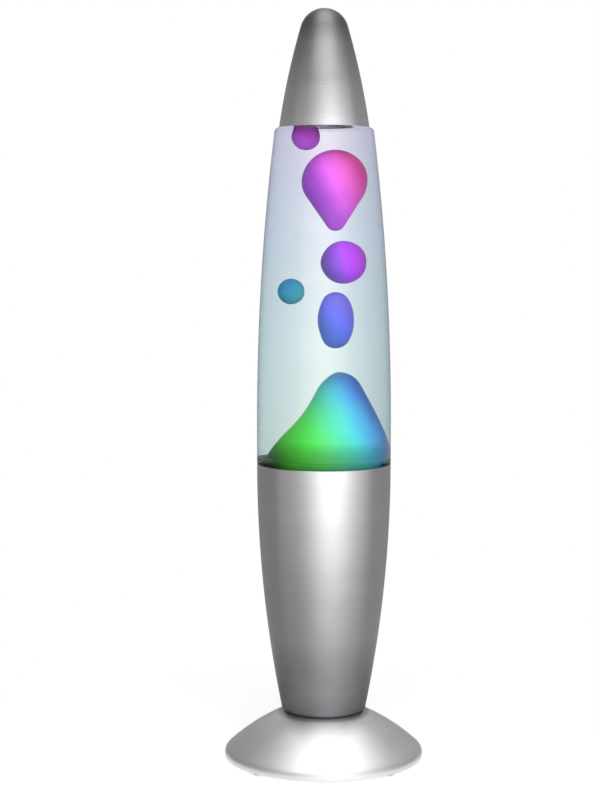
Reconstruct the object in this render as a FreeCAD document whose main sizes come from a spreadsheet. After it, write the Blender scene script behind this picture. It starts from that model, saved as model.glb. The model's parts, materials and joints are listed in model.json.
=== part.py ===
import FreeCAD, Part

import math
import os
from types import SimpleNamespace

import Sketcher

# A liquid motion lamp: a spun aluminium foot and cup with a bulb inside, a glass bottle of wax and
# liquid that stands in the cup's mouth, and a bullet-shaped aluminium cap over the bottle's neck.
# Millimetres. +Z is up, and the origin is on the table under the middle of the foot.

# Driving sizes: alias, value, what it measures
SIZES = [
    ("foot_radius", 56.0, "outer radius of the foot's rim"),
    ("foot_height", 28.0, "from the table to the top of the foot's crown"),
    ("foot_lip_gap", 1.5, "from the table to the foot's lower edge"),
    ("foot_lip", 2.0, "height of the upright band at the foot's rim"),
    ("foot_rim_round", 4.5, "radius of the round above that band"),
    ("foot_bow", 120.0, "radius of the foot's domed flank"),
    ("foot_crown_radius", 22.0, "radius of the flat that the cup stands on"),
    ("foot_wall", 0.8, "metal thickness of the foot"),
    ("pad_height", 2.7, "thickness of a rubber foot"),
    ("pad_radius", 4.5, "radius of a rubber foot"),
    ("pad_taper", 0.4, "how much a rubber foot narrows towards the plate"),
    ("pad_setback", 6.2, "from the inside of the foot's lip to the middle of a rubber foot"),
    ("plate_wall", 1.2, "thickness of the bottom plate"),
    ("plate_clearance", 0.3, "gap between the bottom plate and the foot's lip"),
    ("vent_radius", 2.5, "radius of a vent hole in the bottom plate"),
    ("vent_ring", 34.0, "radius of the ring of vent holes"),
    ("post_ring", 18.3, "radius of the circle that the three posts stand on"),
    ("post_radius", 3.0, "radius of a post"),
    ("post_hole_gap", 1.0, "how far a post's hole runs past the end of its screw"),
    ("rivet_radius", 1.6, "radius of a post's riveted end"),
    ("rivet_head_radius", 2.8, "radius of the head on that end"),
    ("rivet_top_radius", 1.7, "radius of the flat on top of that head"),
    ("rivet_head_height", 0.8, "height of that head"),
    ("screw_radius", 1.45, "radius of a cover screw's shank"),
    ("screw_length", 8.0, "length of that shank"),
    ("screw_head_radius", 2.8, "radius of a cover screw's head"),
    ("screw_head_height", 1.7, "height of that head"),
    ("screw_head_chamfer", 0.6, "chamfer round that head"),
    ("drive_radius", 0.9, "radius of the hex drive in a cover screw, across its corners"),
    ("drive_depth", 0.9, "depth of that drive"),
    ("fit_clearance", 0.05, "gap round a shank, rivet or tube in its hole"),
    ("gland_clearance", 0.5, "gap between the cord inlet's flange and the bottom plate"),
    ("gland_bore", 3.1, "radius of the cord inlet's bore"),
    ("gland_barrel", 4.2, "outer radius of the inlet bush"),
    ("gland_flange", 5.2, "radius of the flange inside the foot"),
    ("gland_flange_wall", 1.6, "thickness of that flange"),
    ("gland_flange_gap", 0.2, "gap between that flange and the inside of the foot"),
    ("gland_setback", 0.5, "how far the bush stays inside the foot's outline"),
    ("cup_height", 140.0, "from the foot's crown to the cup's mouth"),
    ("cup_mouth_radius", 37.5, "outer radius of the cup's mouth and of the glass above it"),
    ("cup_bottom_radius", 23.8, "outer radius of the cup above its bottom corner"),
    ("cup_corner", 2.0, "radius of the cup's bottom corner"),
    ("cup_wall", 0.8, "metal thickness of the cup"),
    ("lip_width", 1.7, "width of the cup's turned-in lip, which the bottle rests on"),
    ("edge_round", 0.5, "radius on the lip's edge and on the glass edge above it"),
    ("tail_clearance", 0.4, "gap between the lip and the glass inside it"),
    ("glass_depth", 30.0, "how deep the bottle stands in the cup"),
    ("glass_tail_radius", 33.0, "radius of the bottle near its bottom"),
    ("glass_corner", 6.0, "radius of the bottle's bottom corner"),
    ("glass_wall", 2.2, "thickness of the glass"),
    ("glass_floor", 3.0, "thickness of the bottle's bottom"),
    ("step_slope", 3.0, "height of the slope inside the glass at the lip"),
    ("belly_height", 22.0, "from the cup's mouth to where the glass starts to narrow"),
    ("glass_height", 187.0, "from the cup's mouth to the bottle's shoulder"),
    ("glass_top_radius", 27.3, "radius that the glass side has narrowed to at the shoulder"),
    ("shoulder_round", 3.0, "radius of the bottle's shoulder"),
    ("neck_radius", 12.0, "outer radius of the bottle's neck"),
    ("neck_height", 33.0, "from the shoulder to the bottle's mouth"),
    ("finish_radius", 13.3, "radius of the bead that holds the crown closure"),
    ("finish_height", 3.0, "height of that bead"),
    ("finish_round", 0.9, "radius on the rim of the bottle's mouth"),
    ("closure_clearance", 0.2, "gap between that bead and the closure's skirt"),
    ("closure_wall", 0.4, "metal thickness of the crown closure"),
    ("closure_skirt", 5.6, "height of the closure's skirt"),
    ("closure_round", 0.8, "radius on the closure's top edge"),
    ("closure_flare_height", 2.8, "height of the part of the skirt that spreads"),
    ("closure_flare", 2.2, "how far the skirt spreads"),
    ("flute_radius", 0.75, "radius of a flute in the closure's skirt"),
    ("flute_offset", 0.22, "from the skirt's edge out to the middle of a flute"),
    ("flute_height", 1.8, "height of a flute"),
    ("liner_wall", 0.6, "thickness of the sealing disc in the closure"),
    ("cap_height", 65.0, "from the bottle's shoulder to the top of the cap"),
    ("cap_setback", 2.3, "how far the cap's rim stands in from the glass side"),
    ("cap_tip_radius", 13.5, "radius of the cap's round tip"),
    ("cap_bow", 400.0, "radius of the cap's bowed side"),
    ("cap_wall", 0.8, "metal thickness of the cap"),
    ("cap_play", 0.5, "gap between the cap's rim and the glass inside it"),
    ("nipple_radius", 5.0, "outer radius of the hollow threaded tube"),
    ("nipple_bore", 3.9, "radius of that tube's bore"),
    ("nipple_rise", 1.5, "how far the tube stands up in the lamp holder"),
    ("nipple_tail", 2.0, "how far the tube stands out below its nut"),
    ("nut_radius", 8.1, "radius of the nut across its corners"),
    ("nut_height", 3.0, "height of the nut"),
    ("washer_radius", 9.0, "radius of the washer under the foot's crown"),
    ("washer_wall", 1.0, "thickness of that washer"),
    ("holder_radius", 13.9, "outer radius of the lamp holder"),
    ("holder_wall", 1.6, "wall of the lamp holder's sleeve and of its cap"),
    ("holder_floor", 3.0, "thickness of the lamp holder's bottom"),
    ("holder_round", 1.0, "radius and chamfer on the lamp holder's outer edges"),
    ("holder_cap_height", 14.0, "height of the lamp holder's lower half"),
    ("holder_spigot", 4.0, "how far that half reaches into the sleeve"),
    ("holder_clearance", 0.15, "gap between the lamp holder's sleeve and what is in it"),
    ("sleeve_height", 28.0, "height of the lamp holder's sleeve"),
    ("insert_wall", 5.0, "thickness of the ceramic insert"),
    ("wire_way_gap", 0.25, "gap between the screw shell and a wire hole in the insert"),
    ("shell_height", 17.0, "height of the brass screw shell"),
    ("shell_wall", 0.4, "thickness of the brass screw shell and the centre contact"),
    ("shell_clearance", 0.15, "gap between the screw shell and the bulb's thread"),
    ("contact_rise", 1.6, "height of the centre contact above the insert"),
    ("contact_width", 3.0, "width of the centre contact"),
    ("contact_reach", 4.0, "half the length of the centre contact"),
    ("contact_foot", 2.0, "length of the strip that lies on the insert"),
    ("contact_slope", 0.8, "length over which the strip rises"),
    ("contact_mitre", 0.24, "how far the strip's upper bends are set back"),
    ("contact_free_end", 2.4, "from the axis to the strip's raised end"),
    ("contact_gap", 0.8, "gap between the strip's ends and the screw shell's flange"),
    ("terminal_width", 5.0, "width of a terminal block"),
    ("terminal_depth", 6.0, "depth of a terminal block, front to back"),
    ("terminal_height", 5.5, "height of a terminal block"),
    ("terminal_offset", 6.0, "from the lamp's axis to the middle of a terminal block"),
    ("terminal_wire_hole", 1.1, "radius of the wire hole in a terminal block"),
    ("terminal_wire_offset", 1.0, "from the middle of a terminal block to that hole"),
    ("terminal_screw_radius", 0.95, "radius of a terminal screw"),
    ("terminal_screw_length", 3.0, "length of a terminal screw in its block"),
    ("terminal_head_radius", 1.5, "radius of a terminal screw's head"),
    ("terminal_head_height", 1.2, "height of that head"),
    ("bulb_height", 66.0, "from the bulb's tip contact to its front"),
    ("bulb_radius", 19.5, "radius of the bulb at its widest"),
    ("bulb_dome", 14.0, "height of the bulb's domed front"),
    ("bulb_band", 2.0, "height of the band below that dome"),
    ("bulb_flank", 34.0, "radius of the bulb's reflecting flank"),
    ("bulb_neck_radius", 7.2, "radius of the bulb's neck"),
    ("bulb_neck_height", 8.0, "height of that neck"),
    ("bulb_wall", 0.6, "glass thickness of the bulb"),
    ("thread_crest", 6.9, "crest radius of the bulb's thread"),
    ("thread_depth", 0.7, "depth of the bulb's thread"),
    ("thread_pitch", 2.822, "pitch of the bulb's thread"),
    ("tin_wall", 0.4, "metal thickness of the bulb's screw cap"),
    ("collar_flare", 2.2, "height of the slope between thread and collar"),
    ("collar_height", 6.0, "height of the screw cap's collar"),
    ("seal_clearance", 0.3, "gap between the bulb's neck and the collar"),
    ("neck_lift", 0.8, "from the collar's start up to the end of the bulb's neck"),
    ("insulator_height", 3.6, "height of the black glass under the bulb's thread"),
    ("insulator_clearance", 0.15, "gap between that glass and the screw cap"),
    ("insulator_foot_radius", 3.1, "radius of that glass at the tip contact"),
    ("insulator_grip", 0.4, "how far the screw cap reaches down over that glass"),
    ("tip_radius", 2.4, "radius of the bulb's tip contact"),
    ("tip_end_radius", 1.7, "radius of the tip contact's lower end"),
    ("tip_height", 1.0, "height of the bulb's tip contact"),
    ("stem_radius", 2.1, "radius of the glass stem inside the bulb"),
    ("stem_height", 15.0, "height of the glass stem"),
    ("stem_flare", 0.8, "thickness of the flare that seals the stem to the neck"),
    ("stem_flare_height", 3.2, "height at which the flare has narrowed to the stem"),
    ("lead_radius", 0.25, "radius of a lead wire"),
    ("lead_spread", 5.5, "from the axis to the upper end of a lead wire"),
    ("lead_root", 1.2, "from the axis to the lower end of a lead wire"),
    ("lead_height", 10.0, "height of a lead wire above the stem"),
    ("lead_bend", 2.0, "height above the stem at which a lead wire starts to spread"),
    ("filament_radius", 0.45, "outer radius of the coiled filament"),
    ("wax_clearance", 0.3, "gap between wax, liquid and glass"),
    ("liquid_rise", 8.0, "from the bottle's shoulder up to the liquid's surface"),
    ("coil_radius", 22.0, "radius of the ring of coiled wire on the bottle's bottom"),
    ("coil_thickness", 2.2, "outer radius of the wire coil itself"),
    ("coil_rise", 1.1, "from the bottle's floor up to the wire coil"),
    ("mound_height", 51.4, "from the cup's mouth to the top of the wax mound"),
    ("mound_crown", 13.0, "radius of the mound's round top"),
    ("mound_flare", 150.0, "radius of the mound's hollow flank"),
    ("mound_offset", 7.6, "how far the mound's top is to the right of the axis"),
    ("mound_margin", 1.8, "how far the mound's flank is drawn past the glass"),
    ("mound_skirt", 3.0, "from the cup's mouth to the mound's lowest edge"),
    ("cut_margin", 2.0, "how far a cutting outline reaches past what it cuts"),
    ("oval_half_width", 9.5, "half the width of the oval wax piece"),
    ("oval_half_height", 15.6, "half the height of the oval wax piece"),
    ("oval_end_radius", 7.6, "radius of the oval's ends"),
    ("oval_offset", 6.2, "from the axis to the oval, to the right"),
    ("oval_depth", -3.0, "from the axis to the oval, towards the back"),
    ("ball_radius", 11.9, "radius of the round wax ball"),
    ("ball_offset", 10.1, "from the axis to the ball, to the right"),
    ("ball_depth", 4.0, "from the axis to the ball, towards the back"),
    ("drop_radius", 17.1, "radius of the large wax drop"),
    ("drop_tail", 27.5, "from the middle of that radius to the drop's lower tip"),
    ("drop_tip_radius", 5.2, "radius of that tip"),
    ("drop_sink", 24.3, "from the middle of the high bead down to the middle of the drop's head"),
    ("drop_offset", 5.6, "from the axis to the drop, to the right"),
    ("drop_depth", -1.0, "from the axis to the drop, towards the back"),
    ("high_bead_radius", 7.4, "radius of the small wax bead under the cap"),
    ("high_bead_sink", 5.5, "from the bottle's shoulder down to that bead's middle"),
    ("high_bead_offset", -9.4, "from the axis to that bead, to the right"),
    ("high_bead_depth", 2.0, "from the axis to that bead, towards the back"),
    ("low_bead_radius", 7.1, "radius of the small wax bead on the left"),
    ("low_bead_rise", 16.0, "from the oval's middle up to that bead's middle"),
    ("low_bead_offset", -17.3, "from the axis to that bead, to the right"),
    ("low_bead_depth", -6.0, "from the axis to that bead, towards the back"),
]
VENTS = 12
POSTS = 3
PADS = 4
FLUTES = 21
THREAD_TURNS = 4
WIRE_COUNT = 2

# The mound's hollow in the liquid is lifted by this many times the gap between them
MOUND_LIFT = 1.5

# The free height between mound and drop is shared out below the oval, the ball and the drop
GAP_SHARES = {"oval": 0.575, "ball": 0.19}


class Size:
    """A size in millimetres: its number, and the sheet expression that it comes from."""

    def __init__(self, number, text):
        self.number = number
        self.text = text

    @staticmethod
    def of(value):
        return value if isinstance(value, Size) else Size(value, f"({value!r})")

    def joined(self, sign, other, number):
        return Size(number, f"({self.text} {sign} {other.text})")

    def __add__(self, other):
        other = Size.of(other)
        return self.joined("+", other, self.number + other.number)

    def __sub__(self, other):
        other = Size.of(other)
        return self.joined("-", other, self.number - other.number)

    def __mul__(self, other):
        other = Size.of(other)
        return self.joined("*", other, self.number * other.number)

    def __truediv__(self, other):
        other = Size.of(other)
        return self.joined("/", other, self.number / other.number)

    def __radd__(self, other):
        return Size.of(other) + self

    def __rsub__(self, other):
        return Size.of(other) - self

    def __rmul__(self, other):
        return Size.of(other) * self

    def __neg__(self):
        return Size.of(0.0) - self


def root(size):
    return Size(math.sqrt(size.number), f"sqrt({size.text})")


def reach(radius, offset):
    """How far a circle reaches sideways at a height offset from its middle."""
    return root(radius * radius - offset * offset)


def meeting(first, first_radius, second, second_radius, side):
    """Where two circles, given by middle and radius, cross: side 1 is left of first to second."""
    run = second[0] - first[0]
    rise = second[1] - first[1]
    apart = root(run * run + rise * rise)
    along = (first_radius * first_radius - second_radius * second_radius + apart * apart) / (2.0 * apart)
    across = reach(first_radius, along) * float(side)
    return (
        first[0] + (along * run - across * rise) / apart,
        first[1] + (along * rise + across * run) / apart,
    )


def toward(start, end, apart, distance):
    """The point at a distance from start, on the line to end, which is apart from start."""
    return (
        start[0] + (end[0] - start[0]) * distance / apart,
        start[1] + (end[1] - start[1]) * distance / apart,
    )


doc = FreeCAD.newDocument("MotionLamp")
sheet = doc.addObject("Spreadsheet::Sheet", "Sizes")
for row, (alias, value, note) in enumerate(SIZES, start=1):
    sheet.set(f"A{row}", alias)
    sheet.set(f"B{row}", str(value))
    sheet.set(f"C{row}", note)
    sheet.setAlias(f"B{row}", alias)
doc.recompute()
s = SimpleNamespace(**{alias: Size(value, f"Sizes.{alias}") for alias, value, note in SIZES})
ZERO = Size.of(0.0)
nodes = []


def bind(thing, prop, size):
    """Ties a property to the sheet."""
    setattr(thing, prop, size.number)
    thing.setExpression(prop, size.text)


def plane_of(body, role):
    return next(f for f in body.Origin.OriginFeatures if f.Role == role)


def new_body(label):
    """An empty body whose label is the name of its sub-part."""
    body = doc.addObject("PartDesign::Body", label)
    body.Label = label
    body.AllowCompound = True
    nodes.append(body)
    return body


def new_sketch(body, name, role, middle=(ZERO, ZERO, ZERO)):
    """A sketch on one of the body's own planes. Its middle may be moved across and along the plane
    and out of it."""
    sketch = body.newObject("Sketcher::SketchObject", name)
    sketch.AttachmentSupport = [(plane_of(body, role), "")]
    sketch.MapMode = "FlatFace"
    offset = FreeCAD.Vector(*(m.number for m in middle))
    sketch.AttachmentOffset = FreeCAD.Placement(offset, FreeCAD.Rotation())
    for axis, size in zip("xyz", middle):
        if size is not ZERO:
            sketch.setExpression(f"AttachmentOffset.Base.{axis}", size.text)
    return sketch


def fix(sketch, kind, edge, point, size):
    """One driving dimension of a sketch, from its middle to a point, tied to the sheet."""
    if abs(size.number) < 1e-9:
        axis = -2 if kind == "DistanceX" else -1
        sketch.addConstraint(Sketcher.Constraint("PointOnObject", edge, point, axis))
        return
    constraint = Sketcher.Constraint(kind, -1, 1, edge, point, size.number)
    number = sketch.addConstraint(constraint)
    sketch.setExpression(f"Constraints[{number}]", size.text)


def arc_between(start, end, bend):
    """An arc that turns left for a bend above 0 and right for one below, and its two end points."""
    radius = abs(bend)
    run = FreeCAD.Vector(end[0] - start[0], end[1] - start[1], 0)
    lift = math.sqrt(max(radius**2 - (run.Length / 2) ** 2, 0.0))
    left = FreeCAD.Vector(-run.y, run.x, 0).normalize()
    side = 1 if bend > 0 else -1
    middle = FreeCAD.Vector(start[0], start[1], 0) + run * 0.5 + left * (lift * side)
    angles = [math.atan2(p[1] - middle.y, p[0] - middle.x) for p in (start, end)]
    if bend < 0:
        angles.reverse()
    if angles[1] < angles[0]:
        angles[1] += 2 * math.pi
    circle = Part.Circle(middle, FreeCAD.Vector(0, 0, 1), radius)
    ends = (1, 2) if bend > 0 else (2, 1)
    return Part.ArcOfCircle(circle, *angles), ends


def outline(body, name, corners, role="XZ_Plane", middle=(ZERO, ZERO, ZERO)):
    """A closed sketch round its corners. A corner is (across, up), or (across, up, bend) where the
    edge to the next corner is an arc: bend is its radius, above 0 where it turns left."""
    sketch = new_sketch(body, name, role, middle)
    corners = [tuple(Size.of(c) for c in corner) for corner in corners]
    ends = []
    for corner, following in zip(corners, corners[1:] + corners[:1]):
        start = [c.number for c in corner[:2]]
        end = [c.number for c in following[:2]]
        if len(corner) == 3:
            arc, points = arc_between(start, end, corner[2].number)
            sketch.addGeometry(arc)
        else:
            sketch.addGeometry(Part.LineSegment(FreeCAD.Vector(*start, 0), FreeCAD.Vector(*end, 0)))
            points = (1, 2)
        ends.append(points)
    for edge in range(len(corners)):
        following = (edge + 1) % len(corners)
        joint = Sketcher.Constraint("Coincident", edge, ends[edge][1], following, ends[following][0])
        sketch.addConstraint(joint)
    for edge, corner in enumerate(corners):
        fix(sketch, "DistanceX", edge, ends[edge][0], corner[0])
        fix(sketch, "DistanceY", edge, ends[edge][0], corner[1])
        if len(corner) == 3:
            bend = corner[2] if corner[2].number > 0 else -corner[2]
            number = sketch.addConstraint(Sketcher.Constraint("Radius", edge, bend.number))
            sketch.setExpression(f"Constraints[{number}]", bend.text)
    return sketch


def circle(body, name, radius, role="XY_Plane", middle=(ZERO, ZERO, ZERO), centre=(ZERO, ZERO)):
    """A sketch of one circle."""
    sketch = new_sketch(body, name, role, middle)
    place = FreeCAD.Vector(centre[0].number, centre[1].number, 0)
    sketch.addGeometry(Part.Circle(place, FreeCAD.Vector(0, 0, 1), radius.number))
    fix(sketch, "DistanceX", 0, 3, centre[0])
    fix(sketch, "DistanceY", 0, 3, centre[1])
    number = sketch.addConstraint(Sketcher.Constraint("Radius", 0, radius.number))
    sketch.setExpression(f"Constraints[{number}]", radius.text)
    return sketch


def turn(body, sketch, axis="V_Axis", kind="PartDesign::Revolution"):
    """Turns a sketch once round one of its axes: a Revolution adds, a Groove cuts."""
    feature = body.newObject(kind, sketch.Name + "Turn")
    feature.Profile = sketch
    feature.ReferenceAxis = (sketch, [axis])
    feature.Angle = 360
    body.Tip = feature
    return feature


def pad(body, sketch, length, both_ways=False):
    feature = body.newObject("PartDesign::Pad", sketch.Name + "Pad")
    feature.Profile = sketch
    bind(feature, "Length", length)
    feature.Midplane = both_ways
    body.Tip = feature
    return feature


def drill(body, sketch, depth=None, back=False):
    """A pocket: right through both ways, or to a depth."""
    feature = body.newObject("PartDesign::Pocket", sketch.Name + "Pocket")
    feature.Profile = sketch
    if depth is None:
        feature.Type = 1
        feature.Midplane = True
    else:
        feature.Type = 0
        bind(feature, "Length", depth)
        feature.Reversed = back
    body.Tip = feature
    return feature


def ring_of(body, feature, sketch, count, axis="N_Axis"):
    """Repeats a feature round a sketch's normal, or its other axis."""
    pattern = body.newObject("PartDesign::PolarPattern", feature.Name + "Ring")
    pattern.Originals = [feature]
    pattern.Axis = (sketch, [axis])
    pattern.Angle = 360
    pattern.Occurrences = count
    body.Tip = pattern
    return pattern


def turned(label, corners, middle=(ZERO, ZERO, ZERO)):
    """A sub-part made on a lathe, about an upright axis."""
    body = new_body(label)
    turn(body, outline(body, label + "_outline", corners, middle=middle))
    return body


def place(body, across, back, up=ZERO):
    """Moves a whole sub-part."""
    body.Placement.Base = FreeCAD.Vector(across.number, back.number, up.number)
    for axis, size in zip("xyz", (across, back, up)):
        if size is not ZERO:
            body.setExpression(f"Placement.Base.{axis}", size.text)


def around(radius, count, number, first_degrees):
    """The place of one of several like pieces, evenly spaced round the lamp's axis."""
    angle = math.radians(first_degrees + 360.0 * number / count)
    return radius * math.cos(angle), radius * math.sin(angle)


# Levels up the lamp, and the radii that more than one piece shares
plate_top = s.pad_height + s.plate_wall
crown_under = s.foot_height - s.foot_wall
cup_floor = s.foot_height + s.cup_wall
mouth = s.foot_height + s.cup_height
glass_bottom = mouth - s.glass_depth
shoulder = mouth + s.glass_height
neck_top = shoulder + s.neck_height
cap_top = shoulder + s.cap_height
tube_hole = s.nipple_radius + s.fit_clearance
lip_inside = s.cup_mouth_radius - s.lip_width
rim_level = s.foot_lip_gap + s.foot_lip
gland_level = plate_top + s.gland_clearance + s.gland_flange
rim_middle = (s.foot_radius - s.foot_rim_round, rim_level)
flank_middle = meeting(
    rim_middle, s.foot_bow - s.foot_rim_round, (s.foot_crown_radius, s.foot_height), s.foot_bow, 1
)


def foot_shell():
    """The spun foot: a domed flank from the flat crown down to a short upright band."""
    inner_bow = s.foot_bow - s.foot_wall
    join_distance = s.foot_bow - s.foot_rim_round
    joint = toward(flank_middle, rim_middle, join_distance, s.foot_bow)
    joint_inside = toward(flank_middle, rim_middle, join_distance, inner_bow)
    lip_inner = s.foot_radius - s.foot_wall
    crown_inner = flank_middle[0] + reach(inner_bow, crown_under - flank_middle[1])
    body = turned(
        "foot_shell",
        [
            (tube_hole, s.foot_height),
            (tube_hole, crown_under),
            (crown_inner, crown_under, -inner_bow),
            (*joint_inside, s.foot_wall - s.foot_rim_round),
            (lip_inner, rim_level),
            (lip_inner, s.foot_lip_gap),
            (s.foot_radius, s.foot_lip_gap),
            (s.foot_radius, rim_level, s.foot_rim_round),
            (*joint, s.foot_bow),
            (s.foot_crown_radius, s.foot_height),
        ],
    )
    rivet_holes(body)
    inlet_radius = s.gland_barrel + s.fit_clearance
    inlet = circle(body, "inlet_hole", inlet_radius, "XZ_Plane", (ZERO, gland_level, ZERO))
    drill(body, inlet, s.foot_radius * 2.0)


def rivet_holes(body):
    """Three holes for the posts' riveted ends."""
    sketch = circle(body, "rivet_hole", s.rivet_radius + s.fit_clearance, centre=(s.post_ring, ZERO))
    ring_of(body, drill(body, sketch), sketch, POSTS)


def bottom_plate():
    """The pressed steel plate that closes the foot, with its vents and screw holes."""
    edge = s.foot_radius - s.foot_wall - s.plate_clearance
    body = new_body("bottom_plate")
    pad(body, circle(body, "plate_disc", edge, middle=(ZERO, ZERO, s.pad_height)), s.plate_wall)
    vent = circle(body, "vent_hole", s.vent_radius, centre=(s.vent_ring, ZERO))
    ring_of(body, drill(body, vent), vent, VENTS)
    screw = circle(body, "screw_hole", s.screw_radius + s.fit_clearance, centre=(s.post_ring, ZERO))
    ring_of(body, drill(body, screw), screw, POSTS)


def rubber_feet():
    ring = s.foot_radius - s.foot_wall - s.pad_setback
    for number in range(PADS):
        body = turned(
            f"rubber_foot_{number + 1}",
            [
                (ZERO, ZERO),
                (s.pad_radius, ZERO),
                (s.pad_radius - s.pad_taper, s.pad_height),
                (ZERO, s.pad_height),
            ],
        )
        place(body, *around(ring, PADS, number, 45))


def cover_posts():
    """Three posts that stand on the bottom plate and are riveted through the crown and cup."""
    hole = s.screw_radius + s.fit_clearance
    hole_top = s.pad_height + s.screw_length + s.post_hole_gap
    head_top = cup_floor + s.rivet_head_height
    for number in range(POSTS):
        body = turned(
            f"cover_post_{number + 1}",
            [
                (hole, plate_top),
                (s.post_radius, plate_top),
                (s.post_radius, crown_under),
                (s.rivet_radius, crown_under),
                (s.rivet_radius, cup_floor),
                (s.rivet_head_radius, cup_floor),
                (s.rivet_top_radius, head_top),
                (ZERO, head_top),
                (ZERO, hole_top),
                (hole, hole_top),
            ],
        )
        place(body, *around(s.post_ring, POSTS, number, 0))


def cover_screws():
    """Three hex-drive screws through the bottom plate into the posts."""
    body = new_body("cover_screws")
    head_under = s.pad_height - s.screw_head_height
    middle = (s.post_ring, ZERO, ZERO)
    corners = [
        (ZERO, head_under),
        (s.screw_head_radius - s.screw_head_chamfer, head_under),
        (s.screw_head_radius, head_under + s.screw_head_chamfer),
        (s.screw_head_radius, s.pad_height),
        (s.screw_radius, s.pad_height),
        (s.screw_radius, s.pad_height + s.screw_length),
        (ZERO, s.pad_height + s.screw_length),
    ]
    screw = turn(body, outline(body, "screw_outline", corners, middle=middle))
    drive = outline(body, "screw_drive", hexagon(s.drive_radius), "XY_Plane", (s.post_ring, ZERO, head_under))
    pocket = drill(body, drive, s.drive_depth, back=True)
    around_axis = circle(body, "pattern_axis", s.screw_radius)
    pattern = ring_of(body, screw, around_axis, POSTS)
    pattern.Originals = [screw, pocket]


def hexagon(radius):
    corners = []
    for number in range(6):
        angle = math.radians(60.0 * number)
        corners.append((radius * math.cos(angle), radius * math.sin(angle)))
    return corners


def cord_bushing():
    """The bush of the cord inlet, through the back of the foot, with a flange inside."""
    inner_bow = s.foot_bow - s.foot_wall
    flange_top = gland_level + s.gland_flange
    shell_inside = flank_middle[0] + reach(inner_bow, flange_top - flank_middle[1])
    flange_face = shell_inside - s.gland_flange_gap
    outer_face = s.foot_radius - s.gland_setback
    inner_face = flange_face - s.gland_flange_wall
    body = new_body("cord_bushing")
    corners = [
        (inner_face, s.gland_bore),
        (outer_face, s.gland_bore),
        (outer_face, s.gland_barrel),
        (flange_face, s.gland_barrel),
        (flange_face, s.gland_flange),
        (inner_face, s.gland_flange),
    ]
    sketch = outline(body, "bush_outline", corners, "YZ_Plane", (ZERO, gland_level, ZERO))
    turn(body, sketch, "H_Axis")


def base_cup():
    """The spun cup: one long arc, upright at the mouth, whose lip is turned in."""
    corner_level = s.foot_height + s.cup_corner
    spread = s.cup_mouth_radius - s.cup_bottom_radius
    rise = mouth - corner_level
    bow = (spread * spread + rise * rise) / (2.0 * spread)
    inner_bow = bow - s.cup_wall
    bow_middle = s.cup_mouth_radius - bow
    under_lip = mouth - s.cup_wall
    flat = s.cup_bottom_radius - s.cup_corner
    edge = s.edge_round
    body = turned(
        "base_cup",
        [
            (tube_hole, s.foot_height),
            (flat, s.foot_height, s.cup_corner),
            (s.cup_bottom_radius, corner_level, bow),
            (s.cup_mouth_radius - edge * edge / (2.0 * bow), mouth - edge, edge),
            (s.cup_mouth_radius - edge, mouth),
            (lip_inside, mouth),
            (lip_inside, under_lip),
            (bow_middle + reach(inner_bow, s.cup_wall), under_lip, -inner_bow),
            (bow_middle + reach(inner_bow, rise), corner_level, s.cup_wall - s.cup_corner),
            (flat, cup_floor),
            (tube_hole, cup_floor),
        ],
    )
    rivet_holes(body)


def glass_values():
    """Radii and middles of the bottle's side, which wax and liquid follow inside."""
    v = SimpleNamespace()
    v.belly = mouth + s.belly_height
    narrowing = s.cup_mouth_radius - s.glass_top_radius
    rise = shoulder - v.belly
    v.bow = (narrowing * narrowing + rise * rise) / (2.0 * narrowing)
    v.bow_middle = (s.cup_mouth_radius - v.bow, v.belly)
    round_level = shoulder - s.shoulder_round
    round_across = v.bow_middle[0] + reach(v.bow - s.shoulder_round, round_level - v.belly)
    v.round_middle = (round_across, round_level)
    v.round_start = toward(v.bow_middle, v.round_middle, v.bow - s.shoulder_round, v.bow)
    v.tail_seat = lip_inside - s.tail_clearance
    v.seat_inside = s.glass_top_radius - s.cap_setback - s.cap_wall - s.cap_play
    return v


glass = glass_values()


def inside_wall(gap):
    """Corners up the inside of the glass, from the bottom corner to the neck, a gap inside it."""
    off = s.glass_wall + gap
    floor = glass_bottom + s.glass_floor + gap
    corner_level = glass_bottom + s.glass_corner
    inner_corner = corner_level - floor
    inner_bow = glass.bow - off
    shelf_level = shoulder - off
    shelf_radius = glass.bow_middle[0] + reach(inner_bow, shelf_level - glass.belly)
    cone_radius = glass.seat_inside - off * math.tan(math.radians(22.5))
    return [
        (s.glass_tail_radius - off - inner_corner, floor, inner_corner),
        (s.glass_tail_radius - off, corner_level),
        (glass.tail_seat - off, mouth - s.cup_wall),
        (s.cup_mouth_radius - off, mouth + s.step_slope),
        (s.cup_mouth_radius - off, glass.belly, inner_bow),
        (shelf_radius, shelf_level),
        (cone_radius, shelf_level),
    ]


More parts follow.
